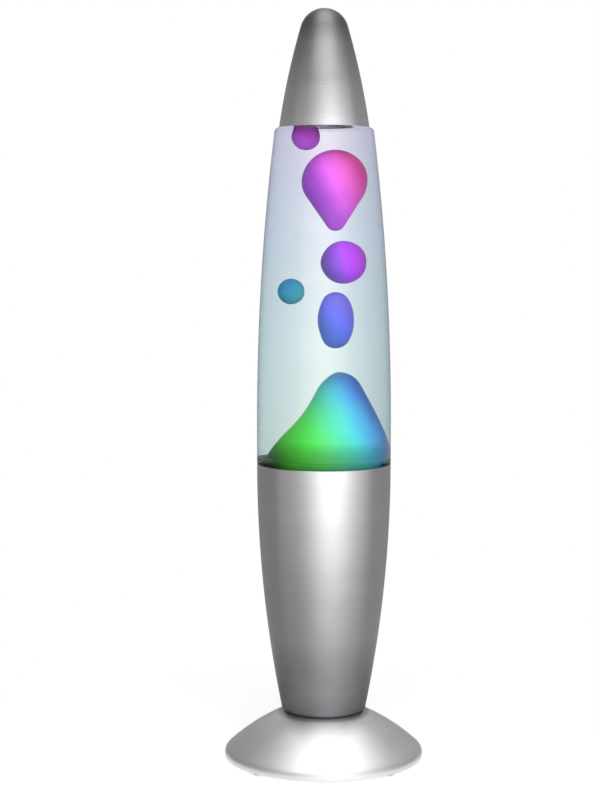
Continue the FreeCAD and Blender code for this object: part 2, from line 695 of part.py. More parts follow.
def bottle():
    """The glass bottle: a step that rests on the cup's lip, a tapering side and a beaded neck."""
    wall = inside_wall(ZERO)
    cone_foot = wall[-1]
    inner_neck = s.neck_radius - s.glass_wall
    cone_top = shoulder + glass.seat_inside - s.neck_radius
    finish_under = neck_top - s.finish_height
    lip_round = s.finish_round
    edge = s.edge_round
    inside_corners = [
        (inner_neck, neck_top),
        (inner_neck, cone_foot[1] + cone_foot[0] - inner_neck),
        cone_foot,
        (wall[5][0], wall[5][1], -(glass.bow - s.glass_wall)),
        (wall[4][0], wall[4][1]),
        wall[3],
        wall[2],
        (wall[1][0], wall[1][1], -wall[0][2]),
        (wall[0][0], wall[0][1]),
        (ZERO, wall[0][1]),
    ]
    outside_corners = [
        (ZERO, glass_bottom),
        (s.glass_tail_radius - s.glass_corner, glass_bottom, s.glass_corner),
        (s.glass_tail_radius, glass_bottom + s.glass_corner),
        (glass.tail_seat, mouth),
        (s.cup_mouth_radius - edge, mouth, edge),
        (s.cup_mouth_radius, mouth + edge),
        (s.cup_mouth_radius, glass.belly, glass.bow),
        (*glass.round_start, s.shoulder_round),
        (glass.round_middle[0], shoulder),
        (glass.seat_inside, shoulder),
        (s.neck_radius, cone_top),
        (s.neck_radius, finish_under),
        (s.finish_radius, finish_under),
        (s.finish_radius, neck_top - lip_round, lip_round),
        (s.finish_radius - lip_round, neck_top),
    ]
    turned("bottle", outside_corners + inside_corners)


def crown_closure():
    """The pressed crown on the bottle's mouth, with its fluted skirt, and the disc inside it."""
    liner_top = neck_top + s.liner_wall
    inner = s.finish_radius + s.closure_clearance
    outer = inner + s.closure_wall
    top = liner_top + s.closure_wall
    skirt = liner_top - s.closure_skirt
    flare_level = skirt + s.closure_flare_height
    body = turned(
        "crown_closure",
        [
            (ZERO, liner_top),
            (inner, liner_top),
            (inner, flare_level),
            (inner + s.closure_flare, skirt),
            (outer + s.closure_flare, skirt),
            (outer, flare_level),
            (outer, top - s.closure_round, s.closure_round),
            (outer - s.closure_round, top),
            (ZERO, top),
        ],
    )
    middle = outer + s.closure_flare + s.flute_offset
    flute = circle(body, "flute", s.flute_radius, middle=(ZERO, ZERO, skirt), centre=(middle, ZERO))
    cut = drill(body, flute, s.flute_height, back=True)
    ring_of(body, cut, flute, FLUTES)
    turned(
        "closure_liner",
        [
            (ZERO, neck_top),
            (s.finish_radius, neck_top),
            (s.finish_radius, liner_top),
            (ZERO, liner_top),
        ],
    )


def cap_shell():
    """The spun cap: a bowed side that runs smoothly into a round tip."""
    rim = s.glass_top_radius - s.cap_setback
    tip_middle = (ZERO, cap_top - s.cap_tip_radius)
    side_to_tip = s.cap_bow - s.cap_tip_radius
    side_middle = meeting(tip_middle, side_to_tip, (rim, shoulder), s.cap_bow, -1)
    inner_bow = s.cap_bow - s.cap_wall
    joint = toward(side_middle, tip_middle, side_to_tip, s.cap_bow)
    joint_inside = toward(side_middle, tip_middle, side_to_tip, inner_bow)
    rim_inside = side_middle[0] + reach(inner_bow, shoulder - side_middle[1])
    turned(
        "cap_shell",
        [
            (rim_inside, shoulder),
            (rim, shoulder, s.cap_bow),
            (*joint, s.cap_tip_radius),
            (ZERO, cap_top),
            (ZERO, cap_top - s.cap_wall, s.cap_wall - s.cap_tip_radius),
            (*joint_inside, -inner_bow),
        ],
    )


def mound_line(gap):
    """The mound's side from its top down to its skirt, as a round crown and a hollow flank."""
    lift = gap * MOUND_LIFT
    crown_middle = (ZERO, mouth + s.mound_height - s.mound_crown + lift)
    skirt_radius = s.cup_mouth_radius - s.glass_wall + s.mound_offset + s.mound_margin
    skirt = (skirt_radius, mouth + s.mound_skirt + lift)
    apart = s.mound_crown + s.mound_flare
    flare_middle = meeting(crown_middle, apart, skirt, s.mound_flare, 1)
    joint = toward(crown_middle, flare_middle, apart, s.mound_crown)
    top = (ZERO, mouth + s.mound_height + lift)
    return top, joint, skirt


coil_level = glass_bottom + s.glass_floor + s.coil_rise + s.coil_thickness


def wax_mound():
    """The settled wax: it fills the bottle's bottom and stands up to one side in a soft cone."""
    wall = inside_wall(s.wax_clearance)
    above = mouth + s.mound_height + s.cut_margin
    body = turned(
        "wax_mound",
        [(ZERO, wall[0][1])] + wall[:4] + [(wall[4][0], above), (ZERO, above)],
    )
    top, joint, skirt = mound_line(ZERO)
    over = above + s.cut_margin
    corners = [
        (*top, -s.mound_crown),
        (*joint, s.mound_flare),
        skirt,
        (skirt[0], over),
        (ZERO, over),
    ]
    flank = outline(body, "mound_flank", corners, middle=(s.mound_offset, ZERO, ZERO))
    turn(body, flank, kind="PartDesign::Groove")
    hollow = s.coil_thickness + s.wax_clearance
    ring = circle(body, "coil_hollow", hollow, "XZ_Plane", centre=(s.coil_radius, coil_level))
    turn(body, ring, kind="PartDesign::Groove")


def heating_coil():
    """The ring of coiled wire in the wax at the bottom, as one ring of its outer size."""
    body = new_body("heating_coil")
    ring = circle(body, "coil_section", s.coil_thickness, "XZ_Plane", centre=(s.coil_radius, coil_level))
    turn(body, ring)


def ball_outline(radius, level):
    return [
        (ZERO, level - radius, radius),
        (radius, level, radius),
        (ZERO, level + radius),
    ]


def oval_outline(grow, level):
    """Round ends and flatter sides, from arcs that run smoothly into each other."""
    wide = s.oval_half_width + grow
    tall = s.oval_half_height + grow
    end = s.oval_end_radius + grow
    up = tall - end
    side = (wide * wide + up * up - end * end) / (2.0 * (wide - end))
    side_middle = (wide - side, level)
    upper = toward(side_middle, (ZERO, level + up), side - end, side)
    lower = toward(side_middle, (ZERO, level - up), side - end, side)
    return [
        (ZERO, level - tall, end),
        (*lower, side),
        (*upper, end),
        (ZERO, level + tall),
    ]


def drop_outline(grow, level):
    """A round head whose straight sides run down to a small round tip."""
    head = s.drop_radius + grow
    tip = s.drop_tip_radius + grow
    down = s.drop_tail - s.drop_tip_radius
    lean = (s.drop_radius - s.drop_tip_radius) / down
    flat = root(1.0 - lean * lean)
    return [
        (ZERO, level - down - tip, tip),
        (tip * flat, level - down - tip * lean),
        (head * flat, level - head * lean, head),
        (head, level, head),
        (ZERO, level + head),
    ]


def wax_pieces():
    """Name, outline and place of each piece of wax that floats in the liquid."""
    high_level = shoulder - s.high_bead_sink
    drop_level = high_level - s.drop_sink
    lowest = mouth + s.mound_height
    highest = drop_level - s.drop_tail
    spare = highest - lowest - s.oval_half_height * 2.0 - s.ball_radius * 2.0
    oval_level = lowest + spare * GAP_SHARES["oval"] + s.oval_half_height
    ball_level = oval_level + s.oval_half_height + spare * GAP_SHARES["ball"] + s.ball_radius
    low_level = oval_level + s.low_bead_rise
    return [
        ("wax_oval", lambda grow: oval_outline(grow, oval_level), s.oval_offset, s.oval_depth),
        (
            "wax_ball",
            lambda grow: ball_outline(s.ball_radius + grow, ball_level),
            s.ball_offset,
            s.ball_depth,
        ),
        ("wax_drop", lambda grow: drop_outline(grow, drop_level), s.drop_offset, s.drop_depth),
        (
            "wax_bead_high",
            lambda grow: ball_outline(s.high_bead_radius + grow, high_level),
            s.high_bead_offset,
            s.high_bead_depth,
        ),
        (
            "wax_bead_low",
            lambda grow: ball_outline(s.low_bead_radius + grow, low_level),
            s.low_bead_offset,
            s.low_bead_depth,
        ),
    ]


def floating_wax():
    for name, shape, across, back in wax_pieces():
        body = new_body(name)
        turn(body, outline(body, name + "_outline", shape(ZERO), middle=(across, ZERO, -back)))


def liquid():
    """The clear liquid, from the wax up into the neck, hollow where wax floats in it."""
    wall = inside_wall(s.wax_clearance)
    cone_foot = wall[-1]
    surface = shoulder + s.liquid_rise
    bottom = mouth + s.step_slope
    body = turned(
        "liquid",
        [
            (ZERO, bottom),
            (wall[3][0], bottom),
            wall[4],
            wall[5],
            cone_foot,
            (cone_foot[0] + cone_foot[1] - surface, surface),
            (ZERO, surface),
        ],
    )
    top, joint, skirt = mound_line(s.wax_clearance)
    under = bottom - s.cut_margin
    corners = [
        (*skirt, -s.mound_flare),
        (*joint, s.mound_crown),
        top,
        (ZERO, under),
        (skirt[0], under),
    ]
    mound = outline(body, "mound_hollow", corners, middle=(s.mound_offset, ZERO, ZERO))
    turn(body, mound, kind="PartDesign::Groove")
    for name, shape, across, back in wax_pieces():
        hollow = outline(body, name + "_hollow", shape(s.wax_clearance), middle=(across, ZERO, -back))
        turn(body, hollow, kind="PartDesign::Groove")


# The lamp holder stands on the cup's floor, and the bulb's contact rests on the centre contact
holder_joint = cup_floor + s.holder_cap_height
insert_under = holder_joint + s.holder_spigot
insert_top = insert_under + s.insert_wall
contact = insert_top + s.contact_rise
sleeve_inside = s.holder_radius - s.holder_wall
nut_top = crown_under - s.washer_wall
nut_under = nut_top - s.nut_height


def nipple():
    """The hollow threaded tube that clamps foot, cup and lamp holder, and lets the wires up."""
    top = cup_floor + s.holder_floor + s.nipple_rise
    bottom = nut_under - s.nipple_tail
    turned(
        "nipple",
        [
            (s.nipple_bore, bottom),
            (s.nipple_radius, bottom),
            (s.nipple_radius, top),
            (s.nipple_bore, top),
        ],
    )


def nipple_nut():
    body = new_body("nipple_nut")
    blank = outline(body, "nut_hexagon", hexagon(s.nut_radius), "XY_Plane", (ZERO, ZERO, nut_under))
    pad(body, blank, s.nut_height)
    drill(body, circle(body, "nut_bore", tube_hole))


def lock_washer():
    turned(
        "lock_washer",
        [
            (tube_hole, nut_top),
            (s.washer_radius, nut_top),
            (s.washer_radius, crown_under),
            (tube_hole, crown_under),
        ],
    )


def holder_cap():
    """The lower half of the lamp holder, with the spigot that its sleeve fits over."""
    spigot = sleeve_inside - s.holder_clearance
    inside = spigot - s.holder_wall
    turned(
        "holder_cap",
        [
            (tube_hole, cup_floor),
            (s.holder_radius - s.holder_round, cup_floor),
            (s.holder_radius, cup_floor + s.holder_round),
            (s.holder_radius, holder_joint),
            (spigot, holder_joint),
            (spigot, insert_under),
            (inside, insert_under),
            (inside, cup_floor + s.holder_floor),
            (tube_hole, cup_floor + s.holder_floor),
        ],
    )


def holder_sleeve():
    top = holder_joint + s.sleeve_height
    turned(
        "holder_sleeve",
        [
            (sleeve_inside, holder_joint),
            (s.holder_radius, holder_joint),
            (s.holder_radius, top - s.holder_round, s.holder_round),
            (s.holder_radius - s.holder_round, top),
            (sleeve_inside, top),
        ],
    )


def holder_insert():
    """The ceramic disc that carries the holder's live pieces."""
    edge = sleeve_inside - s.holder_clearance
    body = turned(
        "holder_insert",
        [
            (ZERO, insert_under),
            (edge, insert_under),
            (edge, insert_top),
            (ZERO, insert_top),
        ],
    )
    shell_outside = s.thread_crest + s.shell_clearance + s.shell_wall
    middle = shell_outside + s.wire_way_gap + s.terminal_wire_hole
    wire_way = circle(body, "wire_way", s.terminal_wire_hole, centre=(ZERO, middle))
    ring_of(body, drill(body, wire_way), wire_way, WIRE_COUNT)


def holder_screw_shell():
    inner = s.thread_crest + s.shell_clearance
    flange = s.contact_reach + s.contact_gap
    top = insert_top + s.shell_height
    turned(
        "holder_screw_shell",
        [
            (flange, insert_top),
            (inner + s.shell_wall, insert_top),
            (inner + s.shell_wall, top),
            (inner, top),
            (inner, insert_top + s.shell_wall),
            (flange, insert_top + s.shell_wall),
        ],
    )


def holder_centre_contact():
    """A bent brass strip whose raised end carries the bulb's tip."""
    thick = s.shell_wall
    rise_start = s.contact_foot - s.contact_reach
    rise_end = rise_start + s.contact_slope
    body = new_body("holder_centre_contact")
    corners = [
        (-s.contact_reach, insert_top),
        (rise_start, insert_top),
        (rise_end, contact - thick),
        (s.contact_free_end, contact - thick),
        (s.contact_free_end, contact),
        (rise_end - s.contact_mitre, contact),
        (rise_start - s.contact_mitre, insert_top + thick),
        (-s.contact_reach, insert_top + thick),
    ]
    pad(body, outline(body, "strip_side", corners), s.contact_width, both_ways=True)


def holder_terminals():
    """Two brass terminal blocks under the insert, and their two clamping screws."""
    half = s.terminal_width / 2.0
    front = -s.terminal_depth / 2.0
    level = insert_under - s.terminal_height
    screw_level = insert_under - s.terminal_height / 2.0
    for name, side in (("holder_terminal_left", -1.0), ("holder_terminal_right", 1.0)):
        body = new_body(name)
        across = s.terminal_offset * side
        corners = [
            (across - half, front),
            (across + half, front),
            (across + half, -front),
            (across - half, -front),
        ]
        block = outline(body, name + "_block", corners, "XY_Plane", (ZERO, ZERO, level))
        pad(body, block, s.terminal_height)
        wire = circle(body, "wire_hole", s.terminal_wire_hole, centre=(across, s.terminal_wire_offset))
        drill(body, wire)
        hole = s.terminal_screw_radius + s.fit_clearance
        thread = circle(body, "screw_way", hole, "XZ_Plane", (across, screw_level, -front))
        drill(body, thread, s.terminal_screw_length + s.fit_clearance)
    body = new_body("terminal_screws")
    head = front - s.terminal_head_height
    corners = [
        (ZERO, head),
        (s.terminal_head_radius, head),
        (s.terminal_head_radius, front),
        (s.terminal_screw_radius, front),
        (s.terminal_screw_radius, front + s.terminal_screw_length),
        (ZERO, front + s.terminal_screw_length),
    ]
    for name, side in (("left_screw", -1.0), ("right_screw", 1.0)):
        across = s.terminal_offset * side
        sketch = outline(body, name, corners, "XY_Plane", (across, ZERO, screw_level))
        turn(body, sketch)


# Levels of the bulb, from its tip contact up
insulator_under = contact + s.tip_height
thread_start = insulator_under + s.insulator_height - s.insulator_grip
thread_end = thread_start + s.thread_pitch * float(THREAD_TURNS)
collar_radius = s.bulb_neck_radius + s.seal_clearance + s.tin_wall
thread_root = s.thread_crest - s.thread_depth
tin_inside = thread_root - s.tin_wall
collar_start = thread_end + s.collar_flare
collar_end = collar_start + s.collar_height
neck_bottom = collar_start + s.neck_lift
neck_end = neck_bottom + s.bulb_neck_height
bulb_front = contact + s.bulb_height


def bulb_tip_contact():
    turned(
        "bulb_tip_contact",
        [
            (ZERO, contact),
            (s.tip_end_radius, contact),
            (s.tip_radius, insulator_under),
            (ZERO, insulator_under),
        ],
    )


def bulb_insulator():
    edge = tin_inside - s.insulator_clearance
    top = insulator_under + s.insulator_height
    turned(
        "bulb_insulator",
        [
            (ZERO, insulator_under),
            (s.insulator_foot_radius, insulator_under),
            (edge, thread_start - s.tin_wall),
            (edge, top),
            (ZERO, top),
        ],
    )


def bulb_screw_cap():
    """The tin cap of the bulb: its rolled thread as rings, and a plain collar above it."""
    half = s.thread_pitch / 2.0
    sag = s.thread_depth
    bend = (half * half + sag * sag) / (2.0 * sag)
    rings = [
        (thread_root, thread_start + s.thread_pitch * float(number), bend) for number in range(THREAD_TURNS)
    ]
    turned(
        "bulb_screw_cap",
        [(tin_inside, thread_start)]
        + rings
        + [
            (thread_root, thread_end),
            (collar_radius, collar_start),
            (collar_radius, collar_end),
            (collar_radius - s.tin_wall, collar_end),
            (collar_radius - s.tin_wall, collar_start + s.tin_wall / 2.0),
            (tin_inside, thread_end + s.tin_wall / 2.0),
        ],
    )


def bulb_envelope():
    """The bulb's glass: a neck, a reflecting flank and a domed front."""
    band_top = bulb_front - s.bulb_dome
    band_under = band_top - s.bulb_band
    wall = s.bulb_wall
    dome = (s.bulb_radius * s.bulb_radius + s.bulb_dome * s.bulb_dome) / (2.0 * s.bulb_dome)
    inner_radius = s.bulb_radius - wall
    inner_rise = s.bulb_dome - wall
    inner_dome = (inner_radius * inner_radius + inner_rise * inner_rise) / (2.0 * inner_rise)
    inner_neck = s.bulb_neck_radius - wall
    turned(
        "bulb_envelope",
        [
            (inner_neck, neck_bottom),
            (s.bulb_neck_radius, neck_bottom),
            (s.bulb_neck_radius, neck_end, s.bulb_flank),
            (s.bulb_radius, band_under),
            (s.bulb_radius, band_top, dome),
            (ZERO, bulb_front),
            (ZERO, bulb_front - wall, -inner_dome),
            (inner_radius, band_top),
            (inner_radius, band_under, -s.bulb_flank),
            (inner_neck, neck_end),
        ],
    )


def bulb_stem():
    """The glass stem that is sealed to the neck's end."""
    edge = s.bulb_neck_radius - s.bulb_wall - s.fit_clearance
    turned(
        "bulb_stem",
        [
            (ZERO, neck_bottom),
            (edge, neck_bottom),
            (edge, neck_bottom + s.stem_flare),
            (s.stem_radius, neck_bottom + s.stem_flare_height),
            (s.stem_radius, neck_bottom + s.stem_height),
            (ZERO, neck_bottom + s.stem_height),
        ],
    )


def bulb_lead_wires():
    """Two lead wires that rise from the stem and spread to the filament's ends."""
    body = new_body("bulb_lead_wires")
    start = neck_bottom + s.stem_height
    bend = start + s.lead_bend
    end = start + s.lead_height
    root_place = (s.lead_root, ZERO)
    section = circle(body, "wire_section", s.lead_radius, middle=(ZERO, ZERO, start), centre=root_place)
    path = new_sketch(body, "wire_path", "XZ_Plane")
    route = [(s.lead_root, start), (s.lead_root, bend), (s.lead_spread, end)]
    points = [FreeCAD.Vector(across.number, up.number, 0) for across, up in route]
    path.addGeometry(Part.LineSegment(points[0], points[1]))
    path.addGeometry(Part.LineSegment(points[1], points[2]))
    path.addConstraint(Sketcher.Constraint("Coincident", 0, 2, 1, 1))
    for (across, up), (edge, point) in zip(route, ((0, 1), (0, 2), (1, 2))):
        fix(path, "DistanceX", edge, point, across)
        fix(path, "DistanceY", edge, point, up)
    pipe = body.newObject("PartDesign::AdditivePipe", "wire_pipe")
    pipe.Profile = section
    pipe.Spine = (path, ["Edge1", "Edge2"])
    pipe.Transition = "Right corner"
    body.Tip = pipe
    mirrored = body.newObject("PartDesign::Mirrored", "wire_mirror")
    mirrored.Originals = [pipe]
    mirrored.MirrorPlane = (path, ["V_Axis"])
    body.Tip = mirrored


def bulb_filament():
    """The coiled filament between the lead wires, as one rod of its outer size."""
    half = s.lead_spread - s.lead_radius - s.filament_radius
    level = neck_bottom + s.stem_height + s.lead_height
    body = new_body("bulb_filament")
    section = circle(body, "filament_section", s.filament_radius, "YZ_Plane", (ZERO, level, ZERO))
    pad(body, section, half * 2.0, both_ways=True)


for make in (
    foot_shell,
    bottom_plate,
    rubber_feet,
    cover_posts,
    cover_screws,
    cord_bushing,
    base_cup,
    nipple,
    nipple_nut,
    lock_washer,
    holder_cap,
    holder_sleeve,
    holder_insert,
    holder_screw_shell,
    holder_centre_contact,
    holder_terminals,
    bulb_tip_contact,
    bulb_insulator,
    bulb_screw_cap,
    bulb_envelope,
    bulb_stem,
    bulb_lead_wires,
    bulb_filament,
    bottle,
    liquid,
    wax_mound,
    heating_coil,
    floating_wax,
    crown_closure,
    cap_shell,
):
    make()
doc.recompute()

for thing in doc.Objects:
    if "Invalid" in thing.State or "Error" in thing.State:
        raise RuntimeError(f"{thing.Label} failed: {thing.State}")
for body in nodes:
    if body.Shape.isNull() or not body.Shape.isValid():
        raise RuntimeError(f"{body.Label} has no valid shape")

os.makedirs("parts", exist_ok=True)
for body in nodes:
    body.Shape.exportStep(f"parts/{body.Label}.step")
    solids = len(body.Shape.Solids)
    print(f"{body.Label}: {solids} solid(s), {body.Shape.Volume:.1f} mm3")
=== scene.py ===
# %% [markdown]
# # A liquid motion lamp in Blender
# The lamp is a glass bottle of wax and clear liquid. It stands in a spun aluminium cup on a domed foot,
# and wears a bullet-shaped cap. Its engineering model is packed already, so this lesson dresses that
# model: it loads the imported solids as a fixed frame, lays finer surfaces over the ones that show, and
# gives every piece a finish made of shader nodes. Blender works in metres here, with +Z up and the
# photograph's camera on the -Y side. All the pieces below are drawn in millimetres and scaled once.

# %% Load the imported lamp
import json

import bmesh
import bpy
import numpy as np
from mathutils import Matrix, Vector


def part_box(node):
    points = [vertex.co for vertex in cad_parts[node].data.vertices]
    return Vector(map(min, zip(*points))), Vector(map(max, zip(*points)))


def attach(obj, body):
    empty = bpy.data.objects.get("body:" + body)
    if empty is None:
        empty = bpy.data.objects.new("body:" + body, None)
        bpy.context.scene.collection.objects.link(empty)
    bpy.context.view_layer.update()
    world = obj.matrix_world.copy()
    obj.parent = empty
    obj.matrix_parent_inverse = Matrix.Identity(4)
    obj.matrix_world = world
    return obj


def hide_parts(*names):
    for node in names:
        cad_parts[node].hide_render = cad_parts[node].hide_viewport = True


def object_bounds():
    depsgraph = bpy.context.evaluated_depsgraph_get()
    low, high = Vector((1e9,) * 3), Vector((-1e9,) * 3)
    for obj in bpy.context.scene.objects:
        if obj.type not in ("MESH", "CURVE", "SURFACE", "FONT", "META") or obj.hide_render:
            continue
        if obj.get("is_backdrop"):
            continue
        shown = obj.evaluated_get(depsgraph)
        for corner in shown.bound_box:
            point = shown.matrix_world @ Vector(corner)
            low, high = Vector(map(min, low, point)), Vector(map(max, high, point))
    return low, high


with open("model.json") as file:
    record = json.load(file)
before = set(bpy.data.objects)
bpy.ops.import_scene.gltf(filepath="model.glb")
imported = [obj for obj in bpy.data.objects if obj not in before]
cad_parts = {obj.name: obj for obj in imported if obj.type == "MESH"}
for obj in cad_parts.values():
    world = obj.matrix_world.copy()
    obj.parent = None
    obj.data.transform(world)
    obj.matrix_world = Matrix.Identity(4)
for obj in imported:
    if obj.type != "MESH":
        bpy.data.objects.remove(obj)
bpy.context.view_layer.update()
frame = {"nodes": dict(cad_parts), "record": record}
MM = 0.001

# %% [markdown]
# ## One way to make a surface
# Nearly every piece of this lamp is round. A lathe would make it from a profile, and in Blender the Spin
# tool or the Screw modifier would do the same. Here one function takes three arrays instead: the x, y and
# z of a grid of points, where the first direction goes round the piece and the second goes along it. The
# arrays can hold a plain turned shape, a fluted one, a thread or a piece of wax that is not quite round.

# %% Turn a grid of points into a mesh
def linked(name, data):
    """A new object with the given data, in the scene."""
    made = bpy.data.objects.new(name, data)
    bpy.context.scene.collection.objects.link(made)
    return made


def tidy_mesh(mesh, crease=35.0):
    """Merges points that coincide, turns a closed surface's faces outwards if its volume comes out
    negative, and shades smooth except across edges sharper than crease."""
    cage = bmesh.new()
    cage.from_mesh(mesh)
    bmesh.ops.remove_doubles(cage, verts=cage.verts, dist=1e-7)
    bmesh.ops.dissolve_degenerate(cage, edges=cage.edges, dist=1e-8)
    if cage.calc_volume(signed=True) < 0:
        bmesh.ops.reverse_faces(cage, faces=cage.faces)
    cage.to_mesh(mesh)
    cage.free()
    mesh.shade_smooth()
    mesh.set_sharp_from_angle(angle=np.radians(crease))


def grid(name, x, y, z, loop=False):
    """The quads of a grid. Point (i, j) has neighbours (i+1, j) round the piece, where the last column
    meets the first, and (i, j+1) along it, where the last row meets the first if loop is set. A row whose
    points all coincide is a pole, and merging turns its quads into triangles."""
    around, along = x.shape
    i, j = np.meshgrid(np.arange(around), np.arange(along if loop else along - 1), indexing="ij")
    right, up = (i + 1) % around, (j + 1) % along
    quads = np.stack([i * along + j, right * along + j, right * along + up, i * along + up], -1)
    points = np.stack(np.broadcast_arrays(x, y, z), -1).reshape(-1, 3) * MM
    mesh = bpy.data.meshes.new(name)
    mesh.from_pydata(points.tolist(), [], quads.reshape(-1, 4).tolist())
    tidy_mesh(mesh)
    return linked(name, mesh)


# %% [markdown]
# ## Whose piece is it?
# Every solid of the frame belongs to a body that moves as one, and to a material slot. A dressed piece
# takes both from the solid that it stands for, so one call per piece is enough.

# %% Tie a piece to the solid it stands for
record = frame["record"]
body_of = {node: body for body, nodes in record["behaviour"]["bodies"].items() for node in nodes}
slot_of = {part["node"]: part["material_slot"] for part in record["subparts"]}
dressed = {}


def stands_for(made, node, replaced=True):
    """The piece rides on the node's body, has its slot, and hides it unless replaced is false."""
    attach(made, body_of[node])
    if replaced:
        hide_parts(node)
    dressed.setdefault(slot_of[node], []).append(made)
    return made


def box_of(node):
    """A solid's lowest and highest corners, in millimetres."""
    return (np.array(corner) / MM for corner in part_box(node))


# %% [markdown]
# ## Profiles with rounded corners
# Sheet metal and glass have no perfectly sharp edges: a small round catches a line of light that tells
# the eye how thick the metal is. A Bevel modifier could add it. A profile that has its rounds from the
# start keeps the mesh light and the rounds even, so the next helpers build profiles.

# %% Draw rounded profiles
def rounded(corners, steps=6):
    """Points round a closed profile. A corner is (radius, height, round): the round is an arc that
    touches both edges, so it starts round / tan(half the corner's angle) before the corner."""
    corners = [np.array(c, float) for c in corners]
    points = []
    for before, here, after in zip(corners[-1:] + corners[:-1], corners, corners[1:] + corners[:1]):
        if here[2] == 0:
            points.append(here[None, :2])
            continue
        back, ahead = before[:2] - here[:2], after[:2] - here[:2]
        back, ahead = back / np.linalg.norm(back), ahead / np.linalg.norm(ahead)
        half = np.arccos(np.clip(back @ ahead, -1, 1)) / 2
        middle = here[:2] + (back + ahead) / np.linalg.norm(back + ahead) * here[2] / np.sin(half)
        start = here[:2] + back * here[2] / np.tan(half) - middle
        end = here[:2] + ahead * here[2] / np.tan(half) - middle
        sweep = np.arctan2(start[0] * end[1] - start[1] * end[0], start @ end)
        turn = np.linspace(0, sweep, steps)
        points.append(middle + np.outer(np.cos(turn), start) + np.outer(np.sin(turn), [-start[1], start[0]]))
    return np.concatenate(points)


def arc(middle, radius, start, end, steps):
    """Points on a circle between two angles in degrees, measured from straight out, upwards."""
    angle = np.radians(np.linspace(start, end, steps))
    return np.stack([middle[0] + radius * np.cos(angle), middle[1] + radius * np.sin(angle)], -1)


# %% [markdown]
# ## The lathe
# A turned piece is a grid whose radius and height depend on the profile alone. Some profiles are closed
# rings, such as a sheet's two faces. Others start and end on the axis, and those poles close the piece.

# %% Turn a profile on the lathe
def full_circle(steps):
    """Evenly spaced angles once round, in radians."""
    return np.linspace(0, 2 * np.pi, steps, endpoint=False)


def turned(name, profile, around=192, loop=True, across=0.0, back=0.0):
    """A lathe: every profile point (radius, height) goes round an upright axis at (across, back)."""
    angle = full_circle(around)
    radius, height = np.asarray(profile, float).T
    x = np.outer(np.cos(angle), radius) + across
    y = np.outer(np.sin(angle), radius) + back
    return grid(name, x, y, height[None, :], loop)


# %% [markdown]
# ## The foot
# The foot is one disc of aluminium, spun over a form: a flat crown that the cup stands on, a domed flank
# and a short upright band. Its lower edge is hemmed, so it looks thicker than the sheet. Flank and rim
# are arcs that run smoothly into each other, which needs the middle of the big arc: it lies where two
# circles cross.

# %% Spin the foot
SHEET = 0.8
FOOT_RADIUS, BAND_TOP, BAND_LOW = 56.0, 3.5, 1.5
CROWN_RADIUS, CROWN, TUBE_HOLE = 22.0, 28.0, 5.1
FLANK_BOW, RIM_ROUND = 120.0, 4.5


def crossing(first, first_radius, second, second_radius, side):
    """Where two circles cross. Along the line between their middles the crossing lies at
    (a^2 - b^2 + d^2) / 2d from the first, and off that line to the side that Pythagoras leaves."""
    run = np.subtract(second, first)
    apart = np.hypot(*run)
    along = (first_radius**2 - second_radius**2 + apart**2) / (2 * apart)
    off = side * np.sqrt(first_radius**2 - along**2)
    return np.add(first, (along * run + off * np.array([-run[1], run[0]])) / apart)


def degrees_from(middle, point):
    """The direction from a middle to a point, in degrees."""
    return np.degrees(np.arctan2(point[1] - middle[1], point[0] - middle[0]))


def foot_profile(wall):
    """The foot's outside, or with a wall its inside, from the crown's hole outwards and down."""
    rim_middle = np.array([FOOT_RADIUS - RIM_ROUND, BAND_TOP])
    flank_middle = crossing(rim_middle, FLANK_BOW - RIM_ROUND, (CROWN_RADIUS, CROWN), FLANK_BOW, 1)
    join_angle = degrees_from(flank_middle, rim_middle)
    level = CROWN - wall
    crown_edge = flank_middle[0] + np.sqrt((FLANK_BOW - wall) ** 2 - (level - flank_middle[1]) ** 2)
    start = degrees_from(flank_middle, (crown_edge, level))
    flank = arc(flank_middle, FLANK_BOW - wall, start, join_angle, 28)
    rim = arc(rim_middle, RIM_ROUND - wall, join_angle, 0.0, 10)[1:]
    return np.concatenate([[(TUBE_HOLE, level)], flank, rim])


outside, inside = foot_profile(0.0), foot_profile(SHEET)
hem_inside, hem_top = 54.6, 3.0
hem_bend = [(FOOT_RADIUS, BAND_LOW, 0.45), (hem_inside, BAND_LOW, 0.45), (hem_inside, hem_top, 0.4)]
hem = rounded([(FOOT_RADIUS, BAND_TOP, 0), *hem_bend, (FOOT_RADIUS - SHEET, BAND_TOP + 0.1, 0)])[1:-1]
foot = turned("foot", np.concatenate([outside, hem, inside[::-1]])[::-1], around=256)
stands_for(foot, "foot_shell")
print("foot: the arcs meet at", np.round(outside[28], 2), "mm")

# %% [markdown]
# ## The hole for the mains cord
# The back of the foot has a round hole for a black bush. A hole is awkward on a turned grid, so here a
# Boolean modifier cuts it with a short turned cutter, and the result is applied. The bush's own box gives
# the cutter its level. The bush itself is turned about a lying axis, so its grid swaps the directions.

# %% Cut the cord hole and turn its bush
bush_low, bush_high = box_of("cord_bushing")
bush_level = (bush_low[2] + bush_high[2]) / 2
turn = full_circle(48)


def lying(name, profile, loop):
    """A lathe whose axis points to the back, at the bush's level: a profile point is (radius, depth)."""
    radius, depth = np.asarray(profile, float).T
    height = np.outer(np.cos(turn), radius) + bush_level
    return grid(name, np.outer(np.sin(turn), radius), depth[None, :], height, loop)


